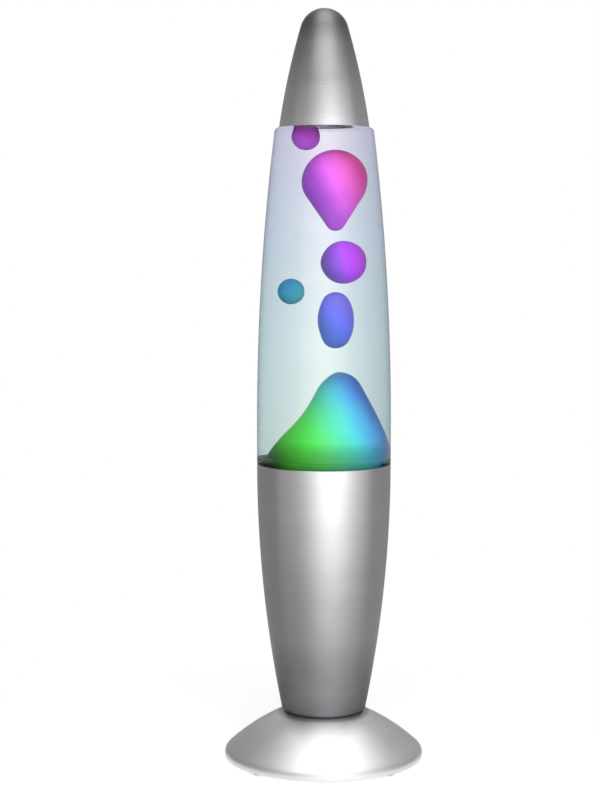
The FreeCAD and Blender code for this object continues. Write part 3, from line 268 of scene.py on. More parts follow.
HOLE, BORE, BARREL, FLANGE, FLANGE_DEPTH = 4.3, 3.1, 4.2, 5.2, 1.6
cut_from, cut_to = 40.0, 62.0
cutter_line = [(0, cut_from), (HOLE, cut_from), (HOLE, cut_to), (0, cut_to)]
cutter = lying("cord_hole_cutter", cutter_line, loop=False)
cut = foot.modifiers.new("cord_hole", "BOOLEAN")
cut.object = cutter
cut.solver = "EXACT"
bpy.context.view_layer.update()
with_hole = bpy.data.meshes.new_from_object(foot.evaluated_get(bpy.context.evaluated_depsgraph_get()))
foot.modifiers.remove(cut)
foot.data = with_hole
bpy.data.objects.remove(cutter)
with_hole.set_sharp_from_angle(angle=np.radians(35.0))
front, rear = bush_low[1], bush_high[1]
collar = front + FLANGE_DEPTH
barrel_line = [(BORE, front, 0.4), (BORE, rear, 0.9), (BARREL, rear, 0.35), (BARREL, collar, 0.1)]
bush_line = rounded([*barrel_line, (FLANGE, collar, 0.3), (FLANGE, front, 0.3)])
stands_for(lying("cord_bush", bush_line, loop=True), "cord_bushing")
print("foot:", len(with_hole.polygons), "faces with the hole; its middle is at", round(bush_level, 1), "mm")

# %% [markdown]
# ## The rubber pads
# Four small rubber pads keep the metal off the table. Moulded rubber has a generous round on its lower
# edge and narrows a little upwards, so that it comes out of its mould.

# %% Mould the rubber pads
PAD_RADIUS, PAD_TOP_RADIUS, PAD_HEIGHT = 4.5, 4.1, 2.7
pad_corners = [(0, 0, 0), (PAD_RADIUS, 0, 0.7), (PAD_TOP_RADIUS, PAD_HEIGHT, 0.2), (0, PAD_HEIGHT, 0)]
for number in range(1, 5):
    pad_low, pad_high = box_of(f"rubber_foot_{number}")
    place = (pad_low + pad_high) / 2
    pad = turned(f"rubber_pad_{number}", rounded(pad_corners), 64, False, across=place[0], back=place[1])
    stands_for(pad, f"rubber_foot_{number}")
print("pads: four, on a circle of", round(2 * np.hypot(*place[:2])), "mm")

# %% [markdown]
# ## The cup
# The cup is spun too. From the side it is one long arc, upright at the mouth, and its lip is turned in
# so that the bottle's step can rest on it. The arc's radius follows from how far it spreads and how far
# it rises: (spread^2 + rise^2) / (2 spread).

# %% Spin the cup
MOUTH_RADIUS, MOUTH = 37.5, 168.0
SPREAD, RISE = 13.7, 138.0
CUP_BOW = (SPREAD**2 + RISE**2) / (2 * SPREAD)


def cup_radius(height, wall=0.0):
    """The cup's radius at a height below its mouth: a circle whose middle is level with the mouth."""
    return MOUTH_RADIUS - CUP_BOW + np.sqrt((CUP_BOW - wall) ** 2 - (MOUTH - height) ** 2)


LIP_RADIUS, LIP_LOW = 35.8, 167.2
corner_middle, corner_round = (21.8, 30.0), 2.0
rise = np.linspace(30.0, 167.4, 60)
drop = np.linspace(LIP_LOW, 30.2, 60)
corner_outside = arc(corner_middle, corner_round, -90.0, -6.0, 7)
corner_inside = arc(corner_middle, corner_round - SHEET, -6.0, -90.0, 7)
lip_edge = [(MOUTH_RADIUS, MOUTH, 0.55), (LIP_RADIUS, MOUTH, 0.35), (LIP_RADIUS, LIP_LOW, 0.3)]
lip = rounded([(MOUTH_RADIUS, MOUTH - 2.0, 0), *lip_edge, (MOUTH_RADIUS - SHEET, LIP_LOW, 0)])
cup_outside = [[(TUBE_HOLE, CROWN)], corner_outside, np.stack([cup_radius(rise), rise], -1), lip[1:-1]]
cup_inside = [np.stack([cup_radius(drop, SHEET), drop], -1), corner_inside, [(TUBE_HOLE, CROWN + SHEET)]]
cup = turned("cup", np.concatenate(cup_outside + cup_inside), around=256)
stands_for(cup, "base_cup")
print("cup: bow radius", round(CUP_BOW), "mm,", len(cup.data.polygons), "faces")

# %% [markdown]
# ## The cap
# The cap is a bullet of thin aluminium: a side that bows a little, and a round tip. Its rim is rolled to
# a soft edge, because people lift the cap by hand. As on the foot, the two arcs are tangent where the line
# of their middles crosses them.

# %% Spin the cap
CAP_RADIUS, CAP_LOW, CAP_BOW = 25.0, 355.0, 400.0
TIP_ROUND, TIP_MIDDLE = 13.5, 406.5


def cap_profile(wall):
    """The cap's side from its rim up, and its tip, offset inwards by a wall."""
    tip_middle = np.array([0.0, TIP_MIDDLE])
    side_middle = crossing(tip_middle, CAP_BOW - TIP_ROUND, (CAP_RADIUS, CAP_LOW), CAP_BOW, -1)
    join_angle = degrees_from(side_middle, tip_middle)
    rim = np.degrees(np.arcsin((CAP_LOW - side_middle[1]) / (CAP_BOW - wall)))
    side = arc(side_middle, CAP_BOW - wall, rim, join_angle, 36)
    tip = arc(tip_middle, TIP_ROUND - wall, join_angle, 90.0, 22)[1:]
    return np.concatenate([side, tip])


outside, inside = cap_profile(0.0), cap_profile(SHEET)
rim = np.array([(-0.75, 0.12), (-0.55, 0.0), (-0.25, 0.0), (-0.05, 0.12)]) + (CAP_RADIUS, CAP_LOW)
cap = turned("cap", np.concatenate([inside[::-1], rim, outside]), around=224, loop=False)
stands_for(cap, "cap_shell")
print("cap:", len(cap.data.polygons), "faces, its tip at", round(outside[-1][1], 1), "mm")

# %% [markdown]
# ## The bottle
# The glass is 2.2 mm thick and has a step: below the step it stands inside the cup, above it the glass is
# flush with the cup. Glass is only convincing as a real wall with an outside and an inside, because the
# thickness is what bends light into the pale bands at its edges.

# %% Blow the bottle
BELLY, SIDE_TOP, GLASS_WALL = 190.0, 351.0, 2.2
NARROWING, SIDE_RISE = 10.2, 165.0
SIDE_BOW = (NARROWING**2 + SIDE_RISE**2) / (2 * NARROWING)


def glass_radius(height, wall=0.0):
    """The bottle's radius: straight up to the belly, then a circle of 1.34 m whose middle is level there."""
    above = np.maximum(np.asarray(height, float) - BELLY, 0.0)
    return MOUTH_RADIUS - SIDE_BOW + np.sqrt((SIDE_BOW - wall) ** 2 - above**2)


side = np.linspace(BELLY, SIDE_TOP, 64)
inner_side = np.linspace(SIDE_TOP, BELLY, 60)
step = [(35.4, MOUTH - 0.1, 1.0), (MOUTH_RADIUS, MOUTH + 0.1, 0.5)]
tail = [(0, 138, 0), (33.0, 138, 6.0), *step, (MOUTH_RADIUS, BELLY, 0)]
slope = [(27.45, CAP_LOW, 3.2), (23.7, CAP_LOW, 1.2), (12, 366.7, 2.0), (12, 385, 0)]
shoulder = [(glass_radius(SIDE_TOP), SIDE_TOP, 0), *slope]
finish = [(12, 384, 0), (12, 385, 0.3), (13.3, 385, 0.4), (13.3, 388, 0.9), (9.8, 388, 0.6), (9.8, 386, 0)]
inner_shoulder = [(22.3, 354.1, 1.0), (25.4, 354.1, 2.0), (25.6, SIDE_TOP, 0)]
inner_neck = [(9.8, 387, 0), (9.8, 366.6, 2.5), *inner_shoulder]
inner_tail = [(35.3, BELLY, 0), (35.3, 171, 2.0), (33.2, 167.2, 2.0), (30.8, 141, 3.2), (0, 141, 0)]
bottle_profile = [
    rounded(tail, 10)[:-1],
    np.stack([glass_radius(side), side], -1),
    rounded(shoulder, 9)[1:-1],
    rounded(finish, 7)[1:-1],
    rounded(inner_neck, 9)[1:-1],
    np.stack([glass_radius(inner_side, GLASS_WALL), inner_side], -1),
    rounded(inner_tail, 9)[1:],
]
bottle = turned("bottle_wall", np.concatenate(bottle_profile), loop=False)
stands_for(bottle, "bottle")
print("bottle:", len(bottle.data.polygons), "faces")

# %% [markdown]
# ## Where the glass is wet
# Light bends by the step in density between two materials. Outside, that step is from air to glass. The
# inside touches liquid, where the step is much smaller, so those faces get a second material slot. Without
# it, a film of air would seem to lie between glass and liquid and show as mirrors along the edges. A face
# is wet if it points towards the axis, up from the bottom or down from the shoulder, below the surface.

# %% Find the wet faces
LIQUID_TOP = 362.6


def face_table(made):
    """The normals and the middles of a piece's faces, the middles in millimetres."""
    table = np.empty((2, len(made.data.polygons) * 3))
    made.data.polygons.foreach_get("normal", table[0])
    made.data.polygons.foreach_get("center", table[1])
    return table[0].reshape(-1, 3), table[1].reshape(-1, 3) / MM


normal, middle = face_table(bottle)
out = np.maximum(np.hypot(middle[:, 0], middle[:, 1]), 1e-6)
outward = (normal[:, :2] * middle[:, :2]).sum(1) / out
height = middle[:, 2]
near_bottom, near_neck, off_the_base = height < 150.0, out < 27.0, height > 139.5
up_from_bottom = (normal[:, 2] > 0.5) & near_bottom
down_from_shoulder = (normal[:, 2] < -0.5) & near_neck
wet = (outward < -0.2) | up_from_bottom | down_from_shoulder
wet = wet & (height < LIQUID_TOP) & off_the_base
print("wet faces:", int(wet.sum()), "of", len(wet))

# %% [markdown]
# ## The liquid
# The liquid fills the glass up to the neck. It could fit exactly against the wall, but two surfaces in
# one place flicker, and a gap would act as a film of air with mirror-like edges. So the liquid reaches a
# hair into the glass. It passes through the wax as well: light meets the wax first wherever there is any.
# Its surface in the neck is the one place where it meets air. Seen from below, that surface is a mirror.

# %% Fill in the liquid
HAIR = 0.06
side = np.linspace(BELLY, SIDE_TOP, 50)
low_corners = inner_tail[::-1]
lower = rounded([(r + HAIR * (r > 0), z - HAIR * (r < 31), bend) for r, z, bend in low_corners], 9)[:-1]
surface_corners = [(13.6, LIQUID_TOP + 0.2, 0.3), (12.4, LIQUID_TOP, 0.8), (0, LIQUID_TOP, 0)]
shoulder_corners = [(r + HAIR, z, bend) for r, z, bend in inner_shoulder[::-1]]
upper = rounded([*shoulder_corners, *surface_corners], 7)[1:]
filling = np.concatenate([lower, np.stack([glass_radius(side, GLASS_WALL) + HAIR, side], -1), upper])
liquid = turned("bottle_filling", filling, loop=False)
stands_for(liquid, "liquid")
normal, middle = face_table(liquid)
is_surface = (middle[:, 2] > LIQUID_TOP - 0.3) & (normal[:, 2] > 0.9)
print("liquid:", int(is_surface.sum()), "faces are its surface, at", upper[-1][1], "mm, hidden by the cap")

# %% [markdown]
# ## Wax that drifts
# Warm wax rises in drops and lumps that are never quite round. Sculpting or a metaball would give such
# shapes. A formula is easier to place: rings stacked along an upright line, where the ring's radius
# follows the wanted outline, and slow waves round and along it push the surface in and out by a few
# percent.

# %% Shape the floating wax
def balls(*arcs, steps=24):
    """The outline of stacked arcs, each (middle height, middle radius, radius, from, to)."""
    pieces = [arc((out, level), radius, start, end, steps) for level, out, radius, start, end in arcs]
    return np.concatenate(pieces)


def lump(node, outline, across, back, sway=0.02, lean=0.0, phase=0.0, around=96):
    """A turned outline made slightly uneven: its radius is multiplied by
    1 + sway * sin(2 * angle + phase + rise) * cos(angle + phase - 2 * rise), where the rise goes from 0 to
    pi up the lump. The line of its middles is bent sideways by lean times the square of how far up or
    down from the middle it is, as a share of the whole height."""
    radius, height = outline.T
    low, high = height.min(), height.max()
    rise = (height - low) / (high - low) * np.pi
    angle = full_circle(around)[:, None]
    uneven = 1 + sway * np.sin(2 * angle + phase + rise) * np.cos(angle + phase - 2 * rise)
    bend = lean * ((height - (low + high) / 2) / (high - low)) ** 2
    x = across + bend + np.cos(angle) * radius * uneven
    y = back + np.sin(angle) * radius * uneven
    return stands_for(grid(node + "_lump", x, y, height[None, :]), node)


drop_level, drop_round, tip_level, tip_round = 325.2, 17.1, 302.9, 5.2
touch = -np.degrees(np.arcsin((drop_round - tip_round) / (drop_level - tip_level)))
drop_line = balls((tip_level, 0, tip_round, -90, touch), (drop_level, 0, drop_round, touch, 90))
lump("wax_drop", drop_line, 5.6, -1.0, sway=0.025, lean=1.0, phase=0.6)
lump("wax_ball", balls((280.3, 0, 11.9, -90, 90), steps=48), 10.1, 4.0, sway=0.03, phase=2.0)
lump("wax_bead_high", balls((349.5, 0, 7.4, -90, 90), steps=32), -9.4, 2.0, phase=0.3, around=64)
lump("wax_bead_low", balls((264.4, 0, 7.1, -90, 90), steps=32), -17.3, -6.0, phase=1.7, around=64)
oval_level, oval_round, end_round, end_offset = 248.4, 9.5, 7.6, 8.0
flat = (oval_round**2 + end_offset**2 - end_round**2) / (2 * (oval_round - end_round))
slant = np.degrees(np.arctan2(end_offset, flat - oval_round))
low_end = (oval_level - end_offset, 0, end_round, -90, -slant)
high_end = (oval_level + end_offset, 0, end_round, slant, 90)
oval_line = balls(low_end, (oval_level, oval_round - flat, flat, -slant, slant), high_end)
lump("wax_oval", oval_line, 6.2, -3.0, lean=-0.8, phase=1.1)
print("drop: a straight side touches its two balls at", round(touch, 1), "degrees")

# %% [markdown]
# ## The settled wax
# The rest of the wax fills the bottle's bottom and stands up in a soft cone that leans to one side. A
# grid with its pole at the cone's top and its edge on the glass fits well: along each spoke the height
# falls from the top to the glass, first roundly, then in a hollow curve, and the spokes that go left are
# hollower than the ones that go right. Where wax meets glass it turns down in a rounding, because the
# liquid wets the glass better than wax does. It never goes below an edge level, and it reaches that level
# smoothly: with over as the height above it, the new one is (over + the root of (over^2 + ease)) / 2.

# %% Pile up the settled wax
TOP = np.array([7.6, 0.0, 219.4])
WAX_RADIUS = 35.0
angle = full_circle(160)[:, None]
spoke_x, spoke_y = np.cos(angle), np.sin(angle)
spoke = -TOP[0] * spoke_x + np.sqrt((TOP[0] * spoke_x) ** 2 + WAX_RADIUS**2 - TOP[0] ** 2)
run = np.sin(np.linspace(0, np.pi / 2, 56))[None, :]
distance = run * spoke


def cone_height(far):
    """A ball on top, then a hollow arc, the flare, that starts where the two arcs touch, at the joint."""
    ball, joint, flare = 13.0, 11.52, 150.0
    top = np.sqrt(np.maximum(ball**2 - np.minimum(far, joint) ** 2, 0.0)) - ball
    low_joint = np.sqrt(ball**2 - joint**2) - ball
    middle = (joint * (ball + flare) / ball, low_joint + flare * (low_joint + ball) / ball)
    below = middle[1] - np.sqrt(np.maximum(flare**2 - (middle[0] - far) ** 2, 0.0))
    return np.where(far < joint, top, below)


HOLLOW, ROUNDING, EDGE, EASE = 4.0, 16.0, 171.3, 2.0
leftness = np.clip(-spoke_x, 0, 1)
height = TOP[2] + cone_height(distance) - HOLLOW * leftness * np.sin(np.pi * run**0.75) ** 2
into = np.clip(1 - (spoke - distance) / ROUNDING, 0, 1)
over = height - ROUNDING * (1 - np.sqrt(1 - into**2)) - EDGE
height = EDGE + (over + np.sqrt(over**2 + EASE)) / 2
wall_corners = [(WAX_RADIUS, 170.6, 0), (32.9, 167.2, 2.0), (30.5, 141.3, 3.0), (0, 141.3, 0)]
wall_line = rounded([(WAX_RADIUS, 171.0, 0), *wall_corners], 8)[1:]
x = np.concatenate([TOP[0] + distance * spoke_x, spoke_x * wall_line[:, 0]], 1)
y = np.concatenate([TOP[1] + distance * spoke_y, spoke_y * wall_line[:, 0]], 1)
z = np.concatenate([height, np.broadcast_to(wall_line[:, 1], (len(spoke), len(wall_line)))], 1)
stands_for(grid("settled_wax", x[:, ::-1], y[:, ::-1], z[:, ::-1]), "wax_mound")
edge = height[:, -1]
print("settled wax: its edge on the glass runs from", round(edge.min(), 1), "to", round(edge.max(), 1))

# %% [markdown]
# ## The wire coil in the wax
# A ring of coiled wire lies in the wax at the bottom. It spreads the bulb's heat and gives cold wax a
# rough place to gather on. The wire's line is a helix bent into a ring, and a tube follows that line: each
# ring of the tube stands on two directions at right angles to the line. An open tube is closed at both
# ends by a ring of no radius.

# %% Wind the coil
def tube(name, line, radius, sides=6, loop=True):
    """A tube along a line of points. The first direction across the line is the one to the neighbours'
    middle, made square to the line, and the second is square to both."""
    def change(rows):
        """How the rows change from one to the next, across the joint too if the line is a loop."""
        return np.roll(rows, -1, 0) - np.roll(rows, 1, 0) if loop else np.gradient(rows, axis=0)

    way = change(line)
    way /= np.linalg.norm(way, axis=1, keepdims=True)
    bent = change(way)
    bent -= way * np.sum(bent * way, 1, keepdims=True)
    bent /= np.maximum(np.linalg.norm(bent, axis=1, keepdims=True), 1e-9)
    turn = full_circle(sides)[:, None, None]
    points = line + radius * (np.cos(turn) * bent + np.sin(turn) * np.cross(way, bent))
    if not loop:
        first, last = np.repeat(line[None, :1], sides, 0), np.repeat(line[None, -1:], sides, 0)
        points = np.concatenate([first, points, last], 1)
    return grid(name, points[..., 0], points[..., 1], points[..., 2], loop)


TURNS_OF_COIL = 56
coil_radius, coil_level, turn_radius = 22.0, 144.3, 1.75
along = full_circle(TURNS_OF_COIL * 14)
out = coil_radius + turn_radius * np.cos(TURNS_OF_COIL * along)
coil_height = coil_level + turn_radius * np.sin(TURNS_OF_COIL * along)
line = np.stack([out * np.cos(along), out * np.sin(along), coil_height], -1)
coil = stands_for(tube("wire_coil", line, 0.45), "heating_coil")
print("coil:", TURNS_OF_COIL, "turns,", len(coil.data.polygons), "faces")

# %% [markdown]
# ## The crown closure
# Under the cap a crown closure seals the bottle, as on a drinks bottle: a pressed disc whose skirt is
# gathered into 21 flutes. The grid makes it in one go. The skirt's radius is a cosine of 21 times the
# angle, and the wave grows from nothing at the top of the skirt to its full depth at the lower edge.

# %% Press the crown closure
FLUTES = 21
DISC_RADIUS, CROWN_TOP, SKIRT_TOP, SKIRT_DEPTH, PLATE, WAVE = 13.9, 389.0, 385.8, 2.8, 0.4, 0.45
top_line = [(0, CROWN_TOP, 0), (DISC_RADIUS, CROWN_TOP, 1.0), (DISC_RADIUS, 385.6, 0)]
skirt_height = np.linspace(385.4, SKIRT_TOP - SKIRT_DEPTH, 9)[:, None]
spread = 1.75 * ((SKIRT_TOP - skirt_height) / SKIRT_DEPTH) ** 1.3
skirt = np.concatenate([DISC_RADIUS + spread, skirt_height], 1)
outer = np.concatenate([rounded(top_line, 8), skirt])
wall_inside, top_inside = DISC_RADIUS - PLATE, CROWN_TOP - PLATE
inner_top = [(wall_inside, 385.6), (wall_inside, 388.2), (13.1, top_inside), (0, top_inside)]
inner = np.concatenate([skirt[::-1] - (PLATE, 0), inner_top])
radius, height = np.concatenate([outer, inner]).T
share = np.clip((SKIRT_TOP - height) / SKIRT_DEPTH, 0, 1)
angle = full_circle(FLUTES * 12)[:, None]
wavy = radius + WAVE * share * np.cos(FLUTES * angle)
crown = grid("crown", np.cos(angle) * wavy, np.sin(angle) * wavy, height[None, :])
stands_for(crown, "crown_closure")
print("crown:", FLUTES, "flutes, widest", round(float(wavy.max()), 2), "mm")

# %% [markdown]
# ## The bulb
# The bulb is a small reflector bulb with an E14 screw. Its glass is blown thin. The flank is silvered on
# the inside, so that the light goes up into the bottle, and the domed front is frosted. The silver is a
# skin of its own, a hair inside the glass, because one glass material can't be part metal.

# %% Blow the bulb
BULB_NECK, BULB_RADIUS, DOME_RISE = 7.2, 19.5, 14.0
FLANK_LOW, FLANK_TOP, DOME_LOW, BULB_BOW = 79.9, 103.4, 105.4, 34.0
BULB_WALL, SILVER_INSET, SILVER = 0.6, 0.66, 0.05


def bow(start, end, radius, steps):
    """Points on an arc from start to end that bulges to the right of the way. Its middle lies to the left
    of the chord's middle, by the root of radius^2 minus half the chord squared."""
    start, end = np.array(start, float), np.array(end, float)
    chord = end - start
    half = np.hypot(*chord) / 2
    left = np.array([-chord[1], chord[0]]) / (2 * half)
    middle = (start + end) / 2 + left * np.sqrt(radius**2 - half**2)
    from_angle = degrees_from(middle, start)
    sweep = (degrees_from(middle, end) - from_angle) % 360
    return arc(middle, radius, from_angle, from_angle + sweep, steps)


def bulb_line(inset):
    """The bulb's outline from its neck to the top of its dome: a straight neck, a bowed flank, a short
    band and a dome whose radius is (half width^2 + rise^2) / (2 rise)."""
    neck, wide, high = BULB_NECK - inset, BULB_RADIUS - inset, DOME_RISE - inset
    dome = (wide**2 + high**2) / (2 * high)
    dome_middle = (0, DOME_LOW + high - dome)
    flank = bow((neck, FLANK_LOW), (wide, FLANK_TOP), BULB_BOW, 22)
    top = arc(dome_middle, dome, degrees_from(dome_middle, (wide, DOME_LOW)), 90, 22)
    return np.concatenate([[(neck, 71.9), (neck, 75.5)], flank, top])


bulb_glass_outline = np.concatenate([bulb_line(0.0), bulb_line(BULB_WALL)[::-1]])
stands_for(turned("bulb_glass_wall", bulb_glass_outline, around=128), "bulb_envelope")
silver_line = bulb_line(SILVER_INSET)[1:26]
silver_outline = np.concatenate([silver_line, silver_line[::-1] - (SILVER, 0)])
silver = turned("bulb_silvering", silver_outline, around=128)
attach(silver, "bulb")
dressed.setdefault("silvering", []).append(silver)
print("bulb: flank to", silver_line[-1].round(1), "is silvered")

# %% [markdown]
# ## The bulb's screw
# The thread is rolled into thin tin, so its inside is wavy too. Round the axis the crest climbs: at an
# angle a, the crests lie one pitch apart and a / 360 of a pitch higher than at angle 0. That makes a
# right-hand thread. The wave fades out at both ends of the thread.

# %% Roll the screw thread
PITCH, CREST, THREAD_LOW, THREAD_TOP, RUN_OUT = 2.822, 0.35, 57.25, 69.6, 1.6
CORE_RADIUS, COLLAR_RADIUS, TIN = 6.2, 7.9, 0.4
up = np.linspace(THREAD_LOW, THREAD_TOP, 60)
plain_up = np.array([71.1, 71.5, 74.3, 77.1])
plain_out = COLLAR_RADIUS - np.array([0.15, 0.0, 0.0, 0.0])
thread_out = CORE_RADIUS + np.interp(up, [69.0, THREAD_TOP], [0.0, 0.25])
height = np.concatenate([up, plain_up, plain_up[::-1], up[::-1]])
radius = np.concatenate([thread_out, plain_out, plain_out[::-1] - TIN, thread_out[::-1] - TIN])
angle = full_circle(96)[:, None]
fade = np.clip((height - THREAD_LOW) / RUN_OUT, 0, 1) * np.clip((THREAD_TOP - height) / RUN_OUT, 0, 1)
wave = CREST + CREST * np.cos(2 * np.pi * (height - THREAD_LOW - CREST) / PITCH - angle)
screw_radius = radius + wave * fade
screw = grid("bulb_screw", np.cos(angle) * screw_radius, np.sin(angle) * screw_radius, height[None, :], True)
stands_for(screw, "bulb_screw_cap")
print("screw: crest radius", round(float(screw_radius[:, :60].max()), 2), "mm")

# %% [markdown]
# ## The filament
# The filament is a coil of fine tungsten wire between the two lead wires. The solid model has a plain rod
# of the coil's outer size. Here it is a helix along the x axis that sags a little in its middle, as hot
# wire does: s of the way along, the sag is 4 s (1 - s) of its depth.

# %% Wind the filament
low, high = box_of("bulb_filament")
TURNS_OF_FILAMENT = 26
steps = np.linspace(0, 1, TURNS_OF_FILAMENT * 12)
spin = 2 * np.pi * TURNS_OF_FILAMENT * steps
winding, sag = 0.33, 0.075
axis_height = (low[2] + high[2]) / 2 - sag * 4 * steps * (1 - steps)
along = low[0] + (high[0] - low[0]) * steps
line = np.stack([along, winding * np.cos(spin), axis_height + winding * np.sin(spin)], -1)
filament = tube("filament_coil", line, 0.09, sides=5, loop=False)
stands_for(filament, "bulb_filament")
print("filament:", len(filament.data.polygons), "faces")

# %% [markdown]
# ## The rest of the solids
# The other pieces have the right shape already: the lamp holder, its contacts, the hollow tube with its
# nut, the bottom plate, the posts and the screws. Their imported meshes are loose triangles, which shade in
# facets. A merged copy of each shades smoothly on its round faces and stays crisp on its edges.

# %% Smooth the carried-over solids
done = {piece_node for piece_node in body_of if frame["nodes"][piece_node].hide_render}
for node in sorted(set(body_of) - done):
    source = frame["nodes"][node].data
    points = np.empty(len(source.vertices) * 3)
    source.vertices.foreach_get("co", points)
    mesh = bpy.data.meshes.new(node + "_fine")
    mesh.from_pydata(points.reshape(-1, 3).tolist(), [], [list(face.vertices) for face in source.polygons])
    tidy_mesh(mesh, crease=28.0)
    stands_for(linked(node + "_fine", mesh), node)
print("smoothed:", len(set(body_of) - done), "solids")

# %% [markdown]
# ## Shader helpers
# A material is a small graph of nodes. Written out with Blender's own calls, each node takes several
# lines, so a few helpers shorten that: one adds any node and fills its inputs, one links, one adds a Math
# node, and two give a place and a smooth step, which many of the finishes start from.

# %% Short ways to add shader nodes
def add(tree, kind, settings=None, **inputs):
    """One node. Its settings are options such as a mode; an input is a value or another node's output."""
    made = tree.nodes.new("ShaderNode" + kind)
    for option, value in (settings or {}).items():
        setattr(made, option, value)
    for label, value in inputs.items():
        join(tree, value, made.inputs[label.replace("_", " ")])
    return made


def join(tree, value, socket):
    """Links an output to a socket, or sets a plain value on it."""
    if isinstance(value, bpy.types.NodeSocket):
        tree.links.new(value, socket)
    else:
        socket.default_value = value


def object_xyz(tree):
    """Where a point is in its piece's own space: three outputs, X, Y and Z."""
    return add(tree, "SeparateXYZ", Vector=add(tree, "TexCoord").outputs["Object"]).outputs


def calc(tree, operation, *values):
    """A Math node's result."""
    made = add(tree, "Math", {"operation": operation})
    for socket, value in zip(made.inputs, values):
        join(tree, value, socket)
    return made.outputs[0]


def smooth(tree, value, low, high):
    """Rises from 0 to 1 while the value goes from low to high, slowly at both ends: with s as the share
    of the way, it is 3 s^2 - 2 s^3."""
    settings = {"interpolation_type": "SMOOTHSTEP"}
    return add(tree, "MapRange", settings, Value=value, From_Min=low, From_Max=high).outputs[0]


print("shader helpers: add, join, object_xyz, calc and smooth")

# %% [markdown]
# ## Colours that change
# Hardly any surface here has one flat colour. A colour ramp turns a number between 0 and 1 into a colour,
# and that number may be a noise, a slant or the height. The colours are written as on a screen, in
# sRGB, while shaders count in linear light, so a helper converts them.

# %% Short ways to add colours
def linear(colour):
    """A colour such as "80a0c0" as linear red, green and blue: sRGB's curve taken off, plus an alpha."""
    share = np.array([int(colour[k : k + 2], 16) for k in (0, 2, 4)]) / 255
    return (*np.where(share <= 0.04045, share / 12.92, ((share + 0.055) / 1.055) ** 2.4), 1.0)


def ramp(tree, factor, *stops):
    """A colour ramp: stops are (position, colour), with colours as written in sRGB hexadecimal."""
    made = add(tree, "ValToRGB", Fac=factor)
    elements = made.color_ramp.elements
    while len(elements) < len(stops):
        elements.new(0.5)
    for element, (position, colour) in zip(elements, stops):
        element.position = position
        element.color = linear(colour)
    return made.outputs["Color"]


def by_height(tree, *stops):
    """A colour that changes up the piece: stops are (height in millimetres, colour)."""
    bottom, top = stops[0][0], stops[-1][0]
    level = object_xyz(tree)["Z"]
    share = add(tree, "MapRange", Value=level, From_Min=bottom * MM, From_Max=top * MM).outputs[0]
    return ramp(tree, share, *[((height - bottom) / (top - bottom), colour) for height, colour in stops])


def darkened(tree, colour, grey):
    """A colour multiplied by a grey. A Mix node has sockets for every kind of data, and those of a colour
    are the factor at 0, the two colours at 6 and 7, and the result at 2."""
    made = add(tree, "Mix", {"data_type": "RGBA", "blend_type": "MULTIPLY"})
    for socket, value in ((0, 1.0), (6, colour), (7, grey)):
        join(tree, value, made.inputs[socket])
    return made.outputs[2]


print("a middle grey of 808080 is", round(float(linear("808080")[0]), 3), "in linear light")

# %% [markdown]
# ## Groups and materials
# A node group is a small tree of its own, with named sockets. A material holds one Principled shader. Its
# constant values sit on the shader's own sockets, and only what changes over the surface is linked.

# %% Ways to start a group and a material
def group(name, inputs, outputs):
    """An empty node group with its named sockets, and its two ends."""
    tree = bpy.data.node_groups.new(name, "ShaderNodeTree")
    for label, value in inputs.items():
        tree.interface.new_socket(label, in_out="INPUT", socket_type="NodeSocketFloat").default_value = value
    for label in outputs:
        tree.interface.new_socket(label, in_out="OUTPUT", socket_type="NodeSocketFloat")
    return tree, tree.nodes.new("NodeGroupInput").outputs, tree.nodes.new("NodeGroupOutput").inputs


def use(tree, shared, **inputs):
    """Places a group in a material, with values of its own, and gives its outputs."""
    made = tree.nodes.new("ShaderNodeGroup")
    made.node_tree = shared
    for label, value in inputs.items():
        join(tree, value, made.inputs[label])
    return made.outputs


def relief(tree, shader, height, strength, distance):
    """Feeds a value to the shader as a fine relief, of a depth in metres."""
    bump = add(tree, "Bump", Strength=strength, Distance=distance, Height=height)
    join(tree, bump.outputs[0], shader["Normal"])


def new_material(slot, **settings):
    """A material for every piece of a slot, with one Principled shader."""
    material = bpy.data.materials.new(slot)
    material.use_nodes = True
    tree = material.node_tree
    shader = tree.nodes["Principled BSDF"].inputs
    for label, value in settings.items():
        shader[label.replace("_", " ")].default_value = value
    for made in dressed[slot]:
        made.data.materials.clear()
        made.data.materials.append(material)
    return tree, shader


# %% [markdown]
# ## Marks of the spinning lathe
# Spun metal keeps fine rings where the tool pressed the turning sheet over its form. They run round the
# axis at every height, so the pattern reads only how far a point is from the axis and how high it is: a
# noise of those two numbers, stretched thin.

# %% Build the lathe marks once
lathe_marks, given, result = group("lathe_marks", {"Rings": 900.0}, ["Marks"])
parts = object_xyz(lathe_marks)
flat_way = add(lathe_marks, "CombineXYZ", X=parts["X"], Y=parts["Y"], Z=0.0).outputs[0]
from_axis = add(lathe_marks, "VectorMath", {"operation": "LENGTH"}, Vector=flat_way).outputs["Value"]
ring = add(lathe_marks, "CombineXYZ", X=from_axis, Y=parts["Z"], Z=0.0).outputs[0]
fine = add(lathe_marks, "TexNoise", Vector=ring, Scale=given["Rings"], Detail=4.0, Roughness=0.7).outputs[0]
broad = add(lathe_marks, "TexNoise", Vector=ring, Scale=90.0, Detail=2.0).outputs[0]
marks = calc(lathe_marks, "MULTIPLY_ADD", broad, 0.3, calc(lathe_marks, "MULTIPLY", fine, 0.7))
join(lathe_marks, marks, result["Marks"])
print("lathe marks:", len(lathe_marks.nodes), "nodes")

# %% [markdown]
# ## Handling and grain
# Nothing on a used lamp is quite even. Hands and dust leave soft clouds, and every metal or plastic has a
# grain of its own size. Both come from noise in object coordinates, so the pattern stays on its piece
# when the piece moves.

